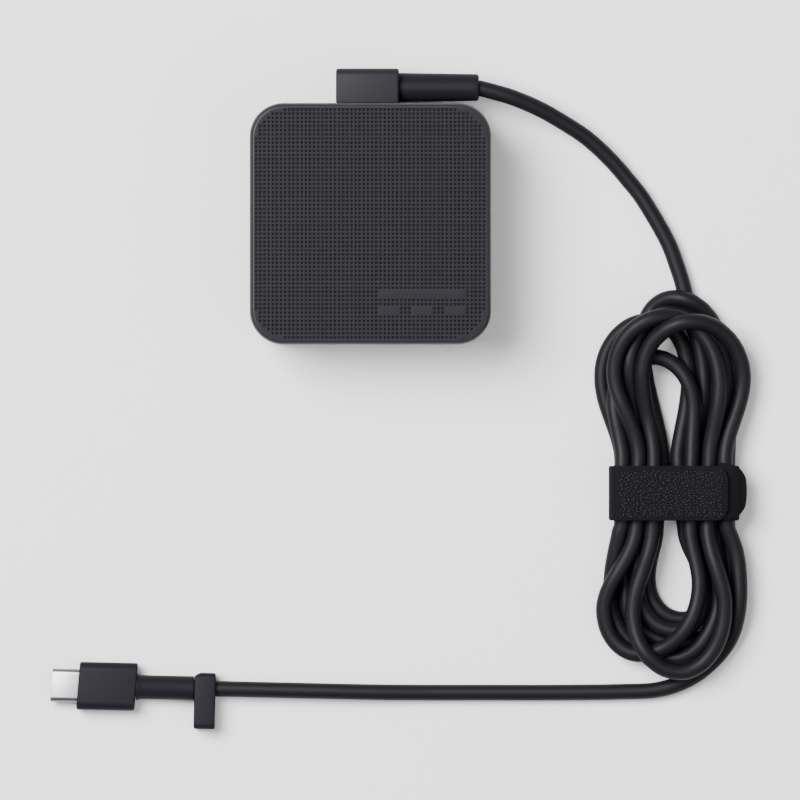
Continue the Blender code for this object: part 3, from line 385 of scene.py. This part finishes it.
def all_finishes():
    """A finish for each material slot, one for the strap's hooks, and a darker copy of the case plastic
    for the pitted face, whose darker colour is painted shade.

    A row holds finish's values after the name, in its order.
    """
    table = {
        "case_plastic": ((0.0110, 0.0105, 0.0135), 0.42, 0, "grain", 0.18, 0.010, 0.10, 0.12),
        # Darker copy of case_plastic for the pitted front: the darker colour is painted shade, on top of
        # the real shade in the pits
        "case_face_painted_shade": ((0.0054, 0.0051, 0.0076), 0.46, 0, "grain", 0.18, 0.012, 0.10, 0.08),
        "outlet_plastic": ((0.0094, 0.0090, 0.0118), 0.46, 0, "grain", 0.15, 0.010, 0.12, 0.08),
        "carrier_plastic": ((0.050, 0.050, 0.055), 0.5, 0, "grain", 0.15, 0.012, 0.10),
        "label": ((0.085, 0.085, 0.095), 0.4, 0, "grain", 0.4, 0.004, 0.06),
        "blade_metal": ((0.72, 0.71, 0.69), 0.24, 1, "brushed", 0.2, 0.003, 0.06),
        "spring_metal": ((0.62, 0.48, 0.30), 0.3, 1, "brushed", 0.2, 0.004, 0.10),
        "board": ((0.020, 0.160, 0.070), 0.4, 0, "weave", 0.5, 0.010, 0.25),
        "ferrite": ((0.060, 0.060, 0.065), 0.7, 0, "grain", 0.3, 0.030, 0.20),
        "bobbin": ((0.030, 0.030, 0.030), 0.5, 0, "grain", 0.3, 0.010, 0.10),
        "winding_tape": ((0.750, 0.550, 0.080), 0.3, 0, "bands", 1.4, 0.040, 0.12),
        "capacitor_sleeve": ((0.020, 0.030, 0.070), 0.3, 0, "grain", 0.6, 0.010, 0.12),
        "can_metal": ((0.75, 0.76, 0.78), 0.28, 1, "brushed", 0.2, 0.003, 0.05),
        "sheet_metal": ((0.66, 0.67, 0.69), 0.38, 1, "brushed", 0.25, 0.006, 0.08),
        "core_coating": ((0.030, 0.220, 0.120), 0.4, 0, "grain", 0.5, 0.020, 0.15),
        "winding_wire": ((0.55, 0.22, 0.09), 0.3, 1, "bands", 0.6, 0.100, 0.15),
        "component_box": ((0.75, 0.62, 0.10), 0.35, 0, "grain", 0.4, 0.010, 0.08),
        "component_ceramic": ((0.78, 0.76, 0.70), 0.6, 0, "grain", 0.3, 0.010, 0.06),
        "component_coat": ((0.05, 0.14, 0.42), 0.35, 0, "grain", 0.7, 0.040, 0.12),
        "chip_mould": ((0.025, 0.025, 0.028), 0.6, 0, "grain", 0.12, 0.010, 0.12),
        "insulating_film": ((0.70, 0.50, 0.20), 0.25, 0, "grain", 2.0, 0.020, 0.05),
        "red_insulation": ((0.50, 0.02, 0.02), 0.35, 0, "grain", 0.4, 0.006, 0.10),
        "white_insulation": ((0.70, 0.70, 0.68), 0.35, 0, "grain", 0.4, 0.006, 0.05),
        "black_insulation": ((0.02, 0.02, 0.02), 0.35, 0, "grain", 0.4, 0.006, 0.10),
        "moulded_rubber": ((0.0060, 0.0057, 0.0082), 0.5, 0, "grain", 0.12, 0.010, 0.12, 0.06),
        "cord_jacket": ((0.0045, 0.0043, 0.0058), 0.5, 0, "grain", 0.2, 0.006, 0.12, 0.10),
        "strap_fabric": ((0.0050, 0.0048, 0.0062), 0.9, 0, "weave", 0.45, 0.120, 0.35, 0.05),
        "strap_hooks": ((0.030, 0.030, 0.034), 0.35, 0, "grain", 0.1, 0.004, 0.10, 0.4),
        "plug_shell": ((0.19, 0.19, 0.20), 0.33, 1, "brushed", 0.15, 0.003, 0.06),
        "plug_plastic": ((0.020, 0.020, 0.022), 0.5, 0, "grain", 0.15, 0.008, 0.10),
        "contact_gold": ((0.90, 0.66, 0.25), 0.25, 1, "brushed", 0.15, 0.003, 0.06),
    }
    return {slot: finish(slot, *facts) for slot, facts in table.items()}


def repaint_cad_nodes():
    """Every CAD node takes the finish of the slot that it already names."""
    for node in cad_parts.values():
        for index, old in enumerate(node.data.materials):
            node.data.materials[index] = FINISHES[old.name.split(".")[0]]


# ---------------------------------------------------------------- shapes

LEAST_CORNER = 0.05 * MM
WELD = 0.002 * MM
COPLANAR = math.radians(0.5)


def outline(half_x, half_y, corner, steps=10):
    """Rectangle with round corners, as points (x, y), anticlockwise from the right."""
    points = []
    for quarter_turn, (sign_x, sign_y) in enumerate(((1, 1), (-1, 1), (-1, -1), (1, -1))):
        for step in range(steps + 1):
            angle = QUARTER * (quarter_turn + step / steps)
            x = sign_x * (half_x - corner) + corner * math.cos(angle)
            y = sign_y * (half_y - corner) + corner * math.sin(angle)
            points.append((x, y))
    return points


def level_ring(half_x, half_y, corner, z, steps=10):
    """The outline as points at height z."""
    return [(x, y, z) for x, y in outline(half_x, half_y, corner, steps)]


def edge_rings(half_x, half_y, corner, z, edge, up, steps=6):
    """Rings round a rounded edge that ends at height z. Up is 1 for a top edge, -1 for a bottom one."""
    rings = []
    for step in range(steps + 1):
        angle = QUARTER * step / steps
        inset = edge * (1 - math.cos(angle))
        height = z - up * edge * (1 - math.sin(angle))
        small_corner = max(corner - inset, LEAST_CORNER)
        rings.append(level_ring(half_x - inset, half_y - inset, small_corner, height))
    return rings if up > 0 else rings[::-1]


def skin(bm, rings):
    """Joins rings that have the same number of points with faces, and returns their vertices."""
    loops = [[bm.verts.new(point) for point in ring] for ring in rings]
    for lower, upper in zip(loops, loops[1:]):
        for i in range(len(lower)):
            j = (i + 1) % len(lower)
            bm.faces.new((lower[i], lower[j], upper[j], upper[i]))
    return loops


def close_ends(bm, loops):
    """Closes the first and the last loop with a face each."""
    bm.faces.new(loops[0])
    bm.faces.new(loops[-1])


def bake_mesh(bm, name, matrix=None, sharp=30):
    """Turns a bmesh into a mesh that is smooth but for edges sharper than that many degrees."""
    bmesh.ops.recalc_face_normals(bm, faces=bm.faces)
    mesh = bpy.data.meshes.new(name)
    bm.to_mesh(mesh)
    bm.free()
    if matrix is not None:
        mesh.transform(matrix)
    mesh.shade_smooth()
    mesh.set_sharp_from_angle(angle=math.radians(sharp))
    return mesh


def block(name, half_x, half_y, corner, z_low, z_high, edge, matrix=None):
    """Closed block with a rounded outline and rounded edges at both ends of its Z."""
    bm = bmesh.new()
    rings = edge_rings(half_x, half_y, corner, z_low, edge, -1)
    rings += edge_rings(half_x, half_y, corner, z_high, edge, 1)
    close_ends(bm, skin(bm, rings))
    return bake_mesh(bm, name, matrix)


def turned(name, profile, matrix, segments=48):
    """Solid turned round its own Z from a profile of (radius, z)."""
    bm = bmesh.new()
    rings = []
    turns = [2 * math.pi * i / segments for i in range(segments)]
    for radius, z in profile:
        rings.append([(radius * math.cos(turn), radius * math.sin(turn), z) for turn in turns])
    close_ends(bm, skin(bm, rings))
    return bake_mesh(bm, name, matrix)


def along_x(turn=0.0, origin=(0, 0, 0)):
    """Matrix that lays a shape's Z along +X and its X along Y, turned about Z at origin."""
    lay = Matrix(((0, 0, 1, 0), (1, 0, 0, 0), (0, 1, 0, 0), (0, 0, 0, 1)))
    return Matrix.Translation(origin) @ Matrix.Rotation(turn, 4, "Z") @ lay


# ---------------------------------------------------------------- front shell

CELLS = 56  # pits along each side of the face
PIT_PITCH = 1.029 * MM
PIT_HALF = 0.29 * MM
PIT_DEPTH = 0.75 * MM
PIT_LIP = 0.03 * MM  # depth of the slope from a cell's edge to its pit
PIT_TAPER = 0.9  # width of a pit's bottom, as a share of its mouth
WEAVE_REPEAT = (0.95, 1.16, 1.04, 0.93)  # size of the pits along every four columns or rows
WEAVE_SCATTER = 0.05
CORNER_CELLS = 7  # the field's corners are rounded over this many cells
CORNER_REACH = 6.75
SHELL_WALL = 2 * MM
BODY_CORNER = 8.4 * MM
BODY_CORNER_STEPS = 14
FRONT_EDGE = (1.15 * MM, 2.1 * MM)  # how far the rounded rim reaches in and down
FRONT_EDGE_STEPS = 8
SYMBOL_BAR = (range(30, 51), range(44, 46))  # direct-current symbol: a bar over three dashes, in cells
SYMBOL_DASHES = ((30, 35), (38, 43), (46, 51))
SYMBOL_DASH_ROWS = range(48, 50)


def cell_in_field(column, row):
    """Whether a cell lies inside the rounded field. Corner cells beyond its round are left out."""
    from_side = min(column, CELLS - 1 - column)
    from_end = min(row, CELLS - 1 - row)
    if from_side >= CORNER_CELLS or from_end >= CORNER_CELLS:
        return True
    return math.hypot(CORNER_CELLS - from_side, CORNER_CELLS - from_end) <= CORNER_REACH


def cell_is_smooth(column, row):
    """Whether a cell belongs to the symbol and has no pit."""
    bar_columns, bar_rows = SYMBOL_BAR
    if column in bar_columns and row in bar_rows:
        return True
    return row in SYMBOL_DASH_ROWS and any(start <= column < end for start, end in SYMBOL_DASHES)


def pit(bm, corners, centre, half_x, half_y, z):
    """Square pit with sloping walls inside a cell whose four corner vertices are given."""
    rings = []
    for share, depth in ((1.0, PIT_LIP), (PIT_TAPER, PIT_DEPTH)):
        ring = []
        for sign_x, sign_y in ((-1, -1), (1, -1), (1, 1), (-1, 1)):
            spot = (centre[0] + sign_x * half_x * share, centre[1] + sign_y * half_y * share, z - depth)
            ring.append(bm.verts.new(spot))
        rings.append(ring)
    for outer, inner in ((corners, rings[0]), (rings[0], rings[1])):
        for i in range(4):
            j = (i + 1) % 4
            bm.faces.new((outer[i], outer[j], inner[j], inner[i]))
    bm.faces.new(rings[1])


def front_shell():
    """Front cover with its field of pits, whose sizes differ by row and column, as in a weave."""
    low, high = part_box("front_cover")
    half = high.x
    bm = bmesh.new()
    ceiling = high.z - SHELL_WALL
    sections = [(SHELL_WALL, ceiling), (SHELL_WALL, low.z), (0, low.z)]
    for step in range(FRONT_EDGE_STEPS + 1):
        angle = QUARTER * step / FRONT_EDGE_STEPS
        reach_in, reach_down = FRONT_EDGE
        sections.append((reach_in * (1 - math.cos(angle)), high.z - reach_down * (1 - math.sin(angle))))
    rings = []
    for inset, z in sections:
        rings.append(level_ring(half - inset, half - inset, BODY_CORNER - inset, z, BODY_CORNER_STEPS))
    loops = skin(bm, rings)
    bm.faces.new(loops[0])
    wall_faces = len(bm.faces)  # the faces made after these belong to the front, which takes the darker copy of the case plastic: painted shade

    rng = np.random.default_rng(7)
    repeat = np.tile(WEAVE_REPEAT, CELLS // len(WEAVE_REPEAT))
    column_size = repeat + WEAVE_SCATTER * rng.uniform(-1, 1, CELLS)
    row_size = np.roll(repeat, -1) + WEAVE_SCATTER * rng.uniform(-1, 1, CELLS)
    grid = {}

    def corner(column, row):
        if (column, row) not in grid:
            x = (column - CELLS / 2) * PIT_PITCH
            y = (CELLS / 2 - row) * PIT_PITCH
            grid[column, row] = bm.verts.new((x, y, high.z))
        return grid[column, row]

    for column in range(CELLS):
        for row in range(CELLS):
            if not cell_in_field(column, row):
                continue
            corners = [corner(column + i, row + j) for i, j in ((0, 1), (1, 1), (1, 0), (0, 0))]
            if cell_is_smooth(column, row):
                bm.faces.new(corners)
                continue
            centre = ((column + 0.5 - CELLS / 2) * PIT_PITCH, (CELLS / 2 - row - 0.5) * PIT_PITCH)
            pit(bm, corners, centre, PIT_HALF * column_size[column], PIT_HALF * row_size[row], high.z)
    # The flat band between the rim and the field's stepped outline
    open_edges = [edge for edge in bm.edges if len(edge.link_faces) == 1]
    bmesh.ops.triangle_fill(bm, edges=open_edges, use_beauty=True, normal=(0, 0, 1))
    bm.faces.ensure_lookup_table()
    # The pitted front takes the darker copy of the case plastic, whose darker colour is painted shade
    for face in bm.faces[wall_faces:]:
        face.material_index = 1
    shell = place("front_shell", bake_mesh(bm, "front_shell"), "case_plastic", replaces=("front_cover",))
    shell.data.materials.append(FINISHES["case_face_painted_shade"])


def smooth_copy(node, slot, body="adapter"):
    """Piece with a CAD node's own shape, welded and shaded smooth over its rounded edges."""
    bm = bmesh.new()
    bm.from_mesh(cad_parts[node].data)
    bmesh.ops.remove_doubles(bm, verts=bm.verts, dist=WELD)
    bmesh.ops.dissolve_limit(bm, angle_limit=COPLANAR, verts=bm.verts, edges=bm.edges)
    piece = place(node + "_moulded", bake_mesh(bm, node + "_moulded", sharp=35), slot, body, (node,))
    weighted = piece.modifiers.new("weighted_normals", "WEIGHTED_NORMAL")
    weighted.mode = "FACE_AREA_WITH_ANGLE"
    weighted.keep_sharp = True


# ---------------------------------------------------------------- cord outlet

OUTLET_FOOT = 30.02 * MM  # just clear of the case
OUTLET_CORNERS = (1.2 * MM, 2.0 * MM, 0.3 * MM)  # low outside, high outside, and next to the case
OUTLET_EDGE = 0.6 * MM
SLEEVE_RADIUS = 3.62 * MM
SLEEVE_END_RADIUS = 3.35 * MM
SLEEVE_AXIS = (34 * MM, 11 * MM)  # y and z
SLEEVE_ROUND = 0.7 * MM
SLEEVE_MOUTH = 1.9 * MM
SLEEVE_START = (-1.0 * MM, -0.9 * MM)  # inside the block, from a smaller radius to the full one
SLEEVE_START_INSET = 0.3 * MM


def section_bar(name, corners, x_low, x_high, edge, corner_steps=8, edge_steps=5):
    """Bar along X with rounded ends. Its section is a rectangle with corners (y, z, corner radius)."""
    count = len(corners)
    points, normals = [], []
    for i, (y, z, radius) in enumerate(corners):
        here = np.array([y, z])
        before = np.array(corners[i - 1][:2]) - here
        after = np.array(corners[(i + 1) % count][:2]) - here
        before, after = before / np.linalg.norm(before), after / np.linalg.norm(after)
        centre = here + (before + after) * radius
        for step in range(corner_steps + 1):
            angle = QUARTER * step / corner_steps
            normal = -after * math.cos(angle) - before * math.sin(angle)
            points.append(centre + normal * radius)
            normals.append(normal)
    rings = []
    for x_end, sign in ((x_low, 1), (x_high, -1)):
        group = []
        for step in range(edge_steps + 1):
            angle = QUARTER * step / edge_steps
            inset = edge * (1 - math.sin(angle))
            x = x_end + sign * edge * (1 - math.cos(angle))
            group.append([(x, *(point - normal * inset)) for point, normal in zip(points, normals)])
        rings += group if sign > 0 else group[::-1]
    bm = bmesh.new()
    close_ends(bm, skin(bm, rings))
    return bake_mesh(bm, name)


def cord_outlet():
    """Outlet block on the case's top side, and the strain relief sleeve that leaves it."""
    low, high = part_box("outlet_block")
    low_outside, high_outside, inside = OUTLET_CORNERS
    corners = [
        (high.y, low.z, low_outside),
        (high.y, high.z, high_outside),
        (OUTLET_FOOT, high.z, inside),
        (OUTLET_FOOT, low.z, inside),
    ]
    shape = section_bar("outlet", corners, low.x, high.x, OUTLET_EDGE)
    place("outlet", shape, "outlet_plastic", replaces=("outlet_block",))

    low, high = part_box("strain_relief")
    length = high.x - low.x
    profile = [(SLEEVE_RADIUS - SLEEVE_START_INSET, SLEEVE_START[0]), (SLEEVE_RADIUS, SLEEVE_START[1])]
    taper_steps, round_steps = 12, 6
    for step in range(taper_steps + 1):
        share = step / taper_steps
        radius = SLEEVE_RADIUS + (SLEEVE_END_RADIUS - SLEEVE_RADIUS) * share
        profile.append((radius, share * (length - SLEEVE_ROUND)))
    for step in range(1, round_steps + 1):
        angle = QUARTER * step / round_steps
        radius = SLEEVE_END_RADIUS - SLEEVE_ROUND * (1 - math.cos(angle))
        profile.append((radius, length - SLEEVE_ROUND * (1 - math.sin(angle))))
    profile.append((SLEEVE_MOUTH, length))
    sleeve = turned("sleeve", profile, along_x(origin=(low.x, *SLEEVE_AXIS)))
    place("sleeve", sleeve, "moulded_rubber", replaces=("strain_relief",))


# ---------------------------------------------------------------- strap

# In millimetres until it is built. A route is a list of (x, z).
STRAP_Y = (-73.8, -60.2)
STRAP_SHEET = 0.95  # thickness
STRAP_STEP = 0.5
STRAP_BEVEL = 0.93  # width of the sheet's flat faces, as a share of the whole
BAND_ROUTE = [  # from under the flap to the right, round the hank and up again
    (64.0, 10.2),
    (76.0, 10.3),
    (86.5, 10.25),
    (89.9, 9.4),
    (91.2, 7.0),
    (91.4, 4.0),
    (90.6, 1.4),
    (88.0, 0.55),
    (76.0, 0.5),
    (63.5, 0.55),
    (60.7, 1.4),
    (59.9, 4.0),
    (59.9, 7.6),
    (60.8, 10.4),
    (63.6, 11.4),
    (70.0, 11.45),
    (80.0, 11.5),
    (84.0, 11.8),
    (88.9, 12.1),
]
FLAP_POINTS = 5  # of the band's route, the last ones, which carry the hooks
HEAD_ROUTE = [(86.6, 11.2), (88.6, 11.0), (91.2, 10.1), (92.7, 8.4), (93.3, 6.6)]
HEAD_EXTRA = 0.4  # half width past the band's, and shift in y
FLAP_CORNER = 2.9
HEAD_ROUND = (9.0, 7.0)  # along and across
HOOK_PITCH = 0.72
HOOK_FIELD = ((62.6, 87.4), (-72.6, -61.4))
HOOK_BEND = [(0, 0), (0.02, 0.22), (0.12, 0.36), (0.25, 0.34), (0.31, 0.22)]  # reach and rise
HOOK_SECTION = (0.09, 0.07)  # half width and half height
HOOK_ROOT = 0.03  # depth in the flap
HOOK_SCATTER = 0.32
HOOK_SWING = 0.9  # radians to either side of the strap's length
HOOK_SIZES = (0.8, 1.25)


def ribbon(name, route, half_width, middle_y):
    """Strap of even thickness along a route, with its half width given by half_width(to_end)."""
    line = smooth_curve([(x, 0, z) for x, z in route], 8)
    line = resample(line, STRAP_STEP)[:, [0, 2]]
    along = np.gradient(line, axis=0)
    along /= np.linalg.norm(along, axis=1)[:, None]
    across = np.column_stack([-along[:, 1], along[:, 0]])
    left = STRAP_STEP * (len(line) - 1 - np.arange(len(line)))
    right_half = [(STRAP_BEVEL, -1), (1, -0.5), (1, 0.5), (STRAP_BEVEL, 1)]
    section = right_half + [(-side, face) for side, face in reversed(right_half)]
    rings = []
    for spot, normal, to_end in zip(line, across, left):
        half = half_width(to_end)
        ring = []
        for side, face in section:
            x, z = spot + normal * STRAP_SHEET / 2 * face
            ring.append((x * MM, (middle_y + side * half) * MM, z * MM))
        rings.append(ring)
    bm = bmesh.new()
    close_ends(bm, skin(bm, rings))
    return bake_mesh(bm, name, sharp=40)


def rounded_end(full, length, side):
    """Returns half_width for a strap's end that is rounded over that length and that far in."""

    def half_width(to_end):
        inside = max(0.0, 1 - to_end / length)
        return full - side + side * math.sqrt(max(1 - inside**2, 0.01))

    return half_width


def flap_height(x):
    """Height of the flap's middle there."""
    flap = BAND_ROUTE[-FLAP_POINTS:]
    return np.interp(x, [spot[0] for spot in flap], [spot[1] for spot in flap])


def hook(bm, centre, heading, size):
    """Bent hook that stands on the flap and leans the way it heads."""
    cos, sin = math.cos(heading), math.sin(heading)
    root_z = flap_height(centre[0]) + STRAP_SHEET / 2 - HOOK_ROOT
    rings = []
    for reach, rise in HOOK_BEND:
        ring = []
        for corner in range(4):
            side = HOOK_SECTION[0] * math.cos(QUARTER * corner)
            up = HOOK_SECTION[1] * math.sin(QUARTER * corner)
            along = size * (reach + up / 2)
            x = centre[0] + along * cos - side * sin
            y = centre[1] + along * sin + side * cos
            ring.append((x * MM, y * MM, (root_z + size * rise + up) * MM))
        rings.append(ring)
    close_ends(bm, skin(bm, rings))


def hook_pile():
    """Rows of small bent hooks over the flap, each a little out of line."""
    rng = np.random.default_rng(11)
    (x_low, x_high), (y_low, y_high) = HOOK_FIELD
    bm = bmesh.new()
    for x in np.arange(x_low, x_high, HOOK_PITCH):
        for y in np.arange(y_low, y_high, HOOK_PITCH):
            centre = np.array([x, y]) + rng.uniform(-HOOK_SCATTER, HOOK_SCATTER, 2)
            heading = rng.uniform(-HOOK_SWING, HOOK_SWING) + (math.pi if rng.random() < 0.5 else 0)
            hook(bm, centre, heading, rng.uniform(*HOOK_SIZES))
    return bake_mesh(bm, "strap_hooks", sharp=60)


def strap():
    """Band round the hank, its broader head that shows beside the flap, and the hooks on the flap."""
    half, middle = (STRAP_Y[1] - STRAP_Y[0]) / 2, sum(STRAP_Y) / 2
    band = ribbon("strap_band", BAND_ROUTE, rounded_end(half, FLAP_CORNER, FLAP_CORNER), middle)
    head_end = rounded_end(half + HEAD_EXTRA, *HEAD_ROUND)
    head = ribbon("strap_head", HEAD_ROUTE, head_end, middle + HEAD_EXTRA)
    place("strap_band", band, "strap_fabric", replaces=("cable_strap",))
    place("strap_head", head, "strap_fabric")
    place("strap_hooks", hook_pile(), "strap_fabric", finish_name="strap_hooks")


# ---------------------------------------------------------------- plug and keeper

# Lengths along the plug are from where the cord enters
PLUG_ORIGIN = Vector(PLUG_END) * MM
RELIEF_RADIUS = 3.0 * MM
RELIEF_START = -0.35 * MM  # a little over the cord
RELIEF_MOUTH = 1.9 * MM
RELIEF_ROUND = 0.3 * MM
RELIEF_LENGTH = 13.8 * MM
RELIEF_FLARE = ((0.0, 1.0), (0.12, 0.5), (0.3, 0.0))  # mm more in radius, mm before its end
MOULD_START = 14.1 * MM
MOULD_END = 28.6 * MM
MOULD_SIZE = (11.9 * MM, 6.5 * MM)
MOULD_CORNER = 2.1 * MM
MOULD_EDGE = 0.5 * MM
MOULD_OVERLAP = 0.05 * MM  # of the strain relief in the mould
MOULD_LEAN = 0.06  # slope of the plug's two ends, which lie a little askew
SHELL_START = 28.2 * MM
SHELL_TIP = 35.25 * MM
SHELL_SIZE = (8.25 * MM, 2.5 * MM)
SHELL_SHEET = 0.25 * MM
SHELL_LIP = 0.12 * MM
SHELL_ROUND = 0.97  # radius of its sides, as a share of half its height


def relief(matrix):
    """Round strain relief that flares a little where it meets the mould."""
    steps = 6
    profile = [(RELIEF_MOUTH, RELIEF_START), (RELIEF_RADIUS - RELIEF_ROUND, RELIEF_START)]
    for step in range(1, steps + 1):
        angle = QUARTER * step / steps
        radius = RELIEF_RADIUS - RELIEF_ROUND * (1 - math.sin(angle))
        profile.append((radius, RELIEF_START + RELIEF_ROUND * (1 - math.cos(angle))))
    for wider, before_end in RELIEF_FLARE:
        profile.append((RELIEF_RADIUS + wider * MM, RELIEF_LENGTH - before_end * MM))
    profile.append((profile[-1][0], MOULD_START + MOULD_OVERLAP))
    return turned("plug_relief", profile, matrix)


def tongue_shell(matrix):
    """Oval metal shell, open at its tip, with a small rounded lip."""
    half_x, half_y = SHELL_SIZE[0] / 2, SHELL_SIZE[1] / 2
    sections = [  # how far in, and how far along
        (0, SHELL_START),
        (0, SHELL_TIP - SHELL_LIP),
        (0.3 * SHELL_LIP, SHELL_TIP - 0.3 * SHELL_LIP),
        (SHELL_LIP, SHELL_TIP),
        (SHELL_SHEET, SHELL_TIP),
        (SHELL_SHEET, SHELL_START),
    ]
    rings = [level_ring(half_x - i, half_y - i, half_y * SHELL_ROUND - i, z) for i, z in sections]
    bm = bmesh.new()
    loops = skin(bm, rings)
    for i in range(len(loops[0])):
        j = (i + 1) % len(loops[0])
        bm.faces.new((loops[-1][i], loops[-1][j], loops[0][j], loops[0][i]))
    return bake_mesh(bm, "plug_tongue_shell", matrix)


def plug():
    """Strain relief, mould and metal shell. The mould and the shell lean."""
    back_to_front = along_x(PLUG_TURN + math.pi, PLUG_ORIGIN)
    lean = Matrix.Identity(4)
    lean[0][1] = MOULD_LEAN
    leaning = Matrix.Translation(PLUG_ORIGIN) @ lean @ Matrix.Translation(-PLUG_ORIGIN) @ back_to_front
    place("plug_relief", relief(back_to_front), "moulded_rubber", replaces=("plug_strain_relief",))

    mould = block(
        "plug_mould",
        MOULD_SIZE[0] / 2,
        MOULD_SIZE[1] / 2,
        MOULD_CORNER,
        MOULD_START,
        MOULD_END,
        MOULD_EDGE,
        leaning,
    )
    place("plug_mould", mould, "moulded_rubber", replaces=("plug_overmould",))
    place("plug_tongue_shell", tongue_shell(leaning), "plug_shell", replaces=("plug_shell",))


# In millimetres, across the cord and upwards from its middle
KEEPER_WIDTH = 5.3  # along the cord
KEEPER_BEVEL = 0.45
KEEPER_CENTRE = -3.1
KEEPER_HALF = (7.0, 3.25)
KEEPER_CORNER = 1.4
KEEPER_EYE = 2.3
KEEPER_HOOK = (-5.9, 1.9)  # its middle and its radius
KEEPER_SLIT = 1.1  # half of its height
KEEPER_PLACE = 3.05  # of its middle, before the cord's end
KEEPER_WELD = 0.005
SHOULDER = (3.0, 0.9)  # where the sloping shoulder starts, and how far it runs
SHOULDER_SLOPE = 1.3


def keeper_outlines():
    """Outline with the open hook in its far side, and the round eye."""
    half_y, half_z = KEEPER_HALF
    far_side = KEEPER_CENTRE - half_y
    rim = [(y + KEEPER_CENTRE, z) for y, z in outline(half_y, half_z, KEEPER_CORNER, 8)]
    mouth = next(i for i, (y, z) in enumerate(rim) if y < far_side + 0.01 and z < KEEPER_SLIT)
    hook_y, hook_radius = KEEPER_HOOK
    opening = math.asin(KEEPER_SLIT / hook_radius)
    hook_steps = 20
    inside = []
    for step in range(hook_steps + 1):
        angle = math.pi - opening - (2 * math.pi - 2 * opening) * step / hook_steps
        inside.append((hook_y + hook_radius * math.cos(angle), hook_radius * math.sin(angle)))
    rim[mouth:mouth] = [(far_side, KEEPER_SLIT), *inside, (far_side, -KEEPER_SLIT)]
    eye_steps = 32
    turns = [2 * math.pi * i / eye_steps for i in range(eye_steps)]
    return rim, [(KEEPER_EYE * math.cos(turn), KEEPER_EYE * math.sin(turn)) for turn in turns]


def keeper():
    """Rubber clip: its outline, with the eye and the open hook, pushed out along the cord."""
    curve = bpy.data.curves.new("keeper_outline", "CURVE")
    curve.dimensions = "2D"
    curve.fill_mode = "BOTH"
    curve.extrude = (KEEPER_WIDTH / 2 - KEEPER_BEVEL) * MM
    curve.bevel_depth = KEEPER_BEVEL * MM
    curve.bevel_resolution = 3
    curve.offset = -KEEPER_BEVEL * MM
    for points in keeper_outlines():
        spline = curve.splines.new("POLY")
        spline.points.add(len(points) - 1)
        spline.points.foreach_set("co", [c for x, y in points for c in (x * MM, y * MM, 0, 1)])
        spline.use_cyclic_u = True
    holder = bpy.data.objects.new("keeper_outline", curve)
    bpy.context.scene.collection.objects.link(holder)
    bpy.context.view_layer.update()
    mesh = bpy.data.meshes.new_from_object(holder.evaluated_get(bpy.context.evaluated_depsgraph_get()))
    bpy.data.objects.remove(holder)
    bm = bmesh.new()
    bm.from_mesh(mesh)
    bmesh.ops.remove_doubles(bm, verts=bm.verts, dist=KEEPER_WELD * MM)
    shoulder_start, shoulder_run = SHOULDER
    for vertex in bm.verts:
        past = min(max(vertex.co.x / MM - shoulder_start, 0), shoulder_run)
        if vertex.co.z < 0:
            vertex.co.z += past * SHOULDER_SLOPE * MM
    middle = PLUG_ORIGIN + Matrix.Rotation(PLUG_TURN, 3, "Z") @ Vector((KEEPER_PLACE * MM, 0, 0))
    shape = bake_mesh(bm, "keeper_clip", along_x(PLUG_TURN, middle), 40)
    place("keeper_clip", shape, "moulded_rubber", "keeper", ("cord_keeper",))


# ---------------------------------------------------------------- studio

FLOOR_Z = -0.2 * MM  # clear of the undersides that rest on it
FLOOR_HALF = 2
FLOOR_GREY = (0.62, 0.62, 0.62)
CAMERA_PLACE = (0.00735, -0.0438, 7.5)  # straight above, and far away for a nearly parallel view
VIEW_WIDTH = 0.1992  # at VIEW_HEIGHT
VIEW_HEIGHT = 0.008
SENSOR = 36
FAR_LIMIT = 30
AIM = (0.01, -0.04, 0)
LIGHTS = {  # place, size and power
    "key": ((-0.68, 0.38, 1.4), 0.9, 100),
    "fill": ((0.7, -0.4, 1.2), 1.2, 12),
    "top": ((0.0, 0.0, 1.6), 0.8, 6),
}
SKY = 0.3


def studio():
    """Camera straight above, a pale floor, a soft key light from the upper left and two weaker ones."""
    camera_data = bpy.data.cameras.new("camera")
    camera = bpy.data.objects.new("camera", camera_data)
    bpy.context.scene.collection.objects.link(camera)
    camera_data.sensor_width = SENSOR
    camera_data.lens = SENSOR * (CAMERA_PLACE[2] - VIEW_HEIGHT) / VIEW_WIDTH
    camera_data.clip_end = FAR_LIMIT
    camera.location = CAMERA_PLACE
    bpy.context.scene.camera = camera

    bm = bmesh.new()
    bmesh.ops.create_grid(bm, x_segments=8, y_segments=8, size=FLOOR_HALF)
    floor_mesh = bpy.data.meshes.new("floor")
    bm.to_mesh(floor_mesh)
    bm.free()
    floor = bpy.data.objects.new("floor", floor_mesh)
    floor.location.z = FLOOR_Z
    bpy.context.scene.collection.objects.link(floor)
    floor_mesh.materials.append(finish("studio_floor", FLOOR_GREY, 0.85, 0, "grain", 20, 0.0, 0.004))

    for name, (spot, size, energy) in LIGHTS.items():
        light_data = bpy.data.lights.new(name, "AREA")
        light_data.size = size
        light_data.energy = energy
        light = bpy.data.objects.new(name, light_data)
        light.location = spot
        light.rotation_euler = (Vector(AIM) - light.location).to_track_quat("-Z", "Y").to_euler()
        bpy.context.scene.collection.objects.link(light)
    world = bpy.data.worlds.new("world")
    world.use_nodes = True
    sky = world.node_tree.nodes["Background"]
    sky.inputs["Color"].default_value = (1, 1, 1, 1)
    sky.inputs["Strength"].default_value = SKY
    bpy.context.scene.world = world


FINISHES = all_finishes()
studio()
cord = build_cord()
repaint_cad_nodes()
front_shell()
smooth_copy("rear_cover", "case_plastic")
cord_outlet()
strap()
plug()
keeper()
smooth_copy("prong_carrier", "carrier_plastic", "prongs")
smooth_copy("prong_left", "blade_metal", "prongs")
smooth_copy("prong_right", "blade_metal", "prongs")
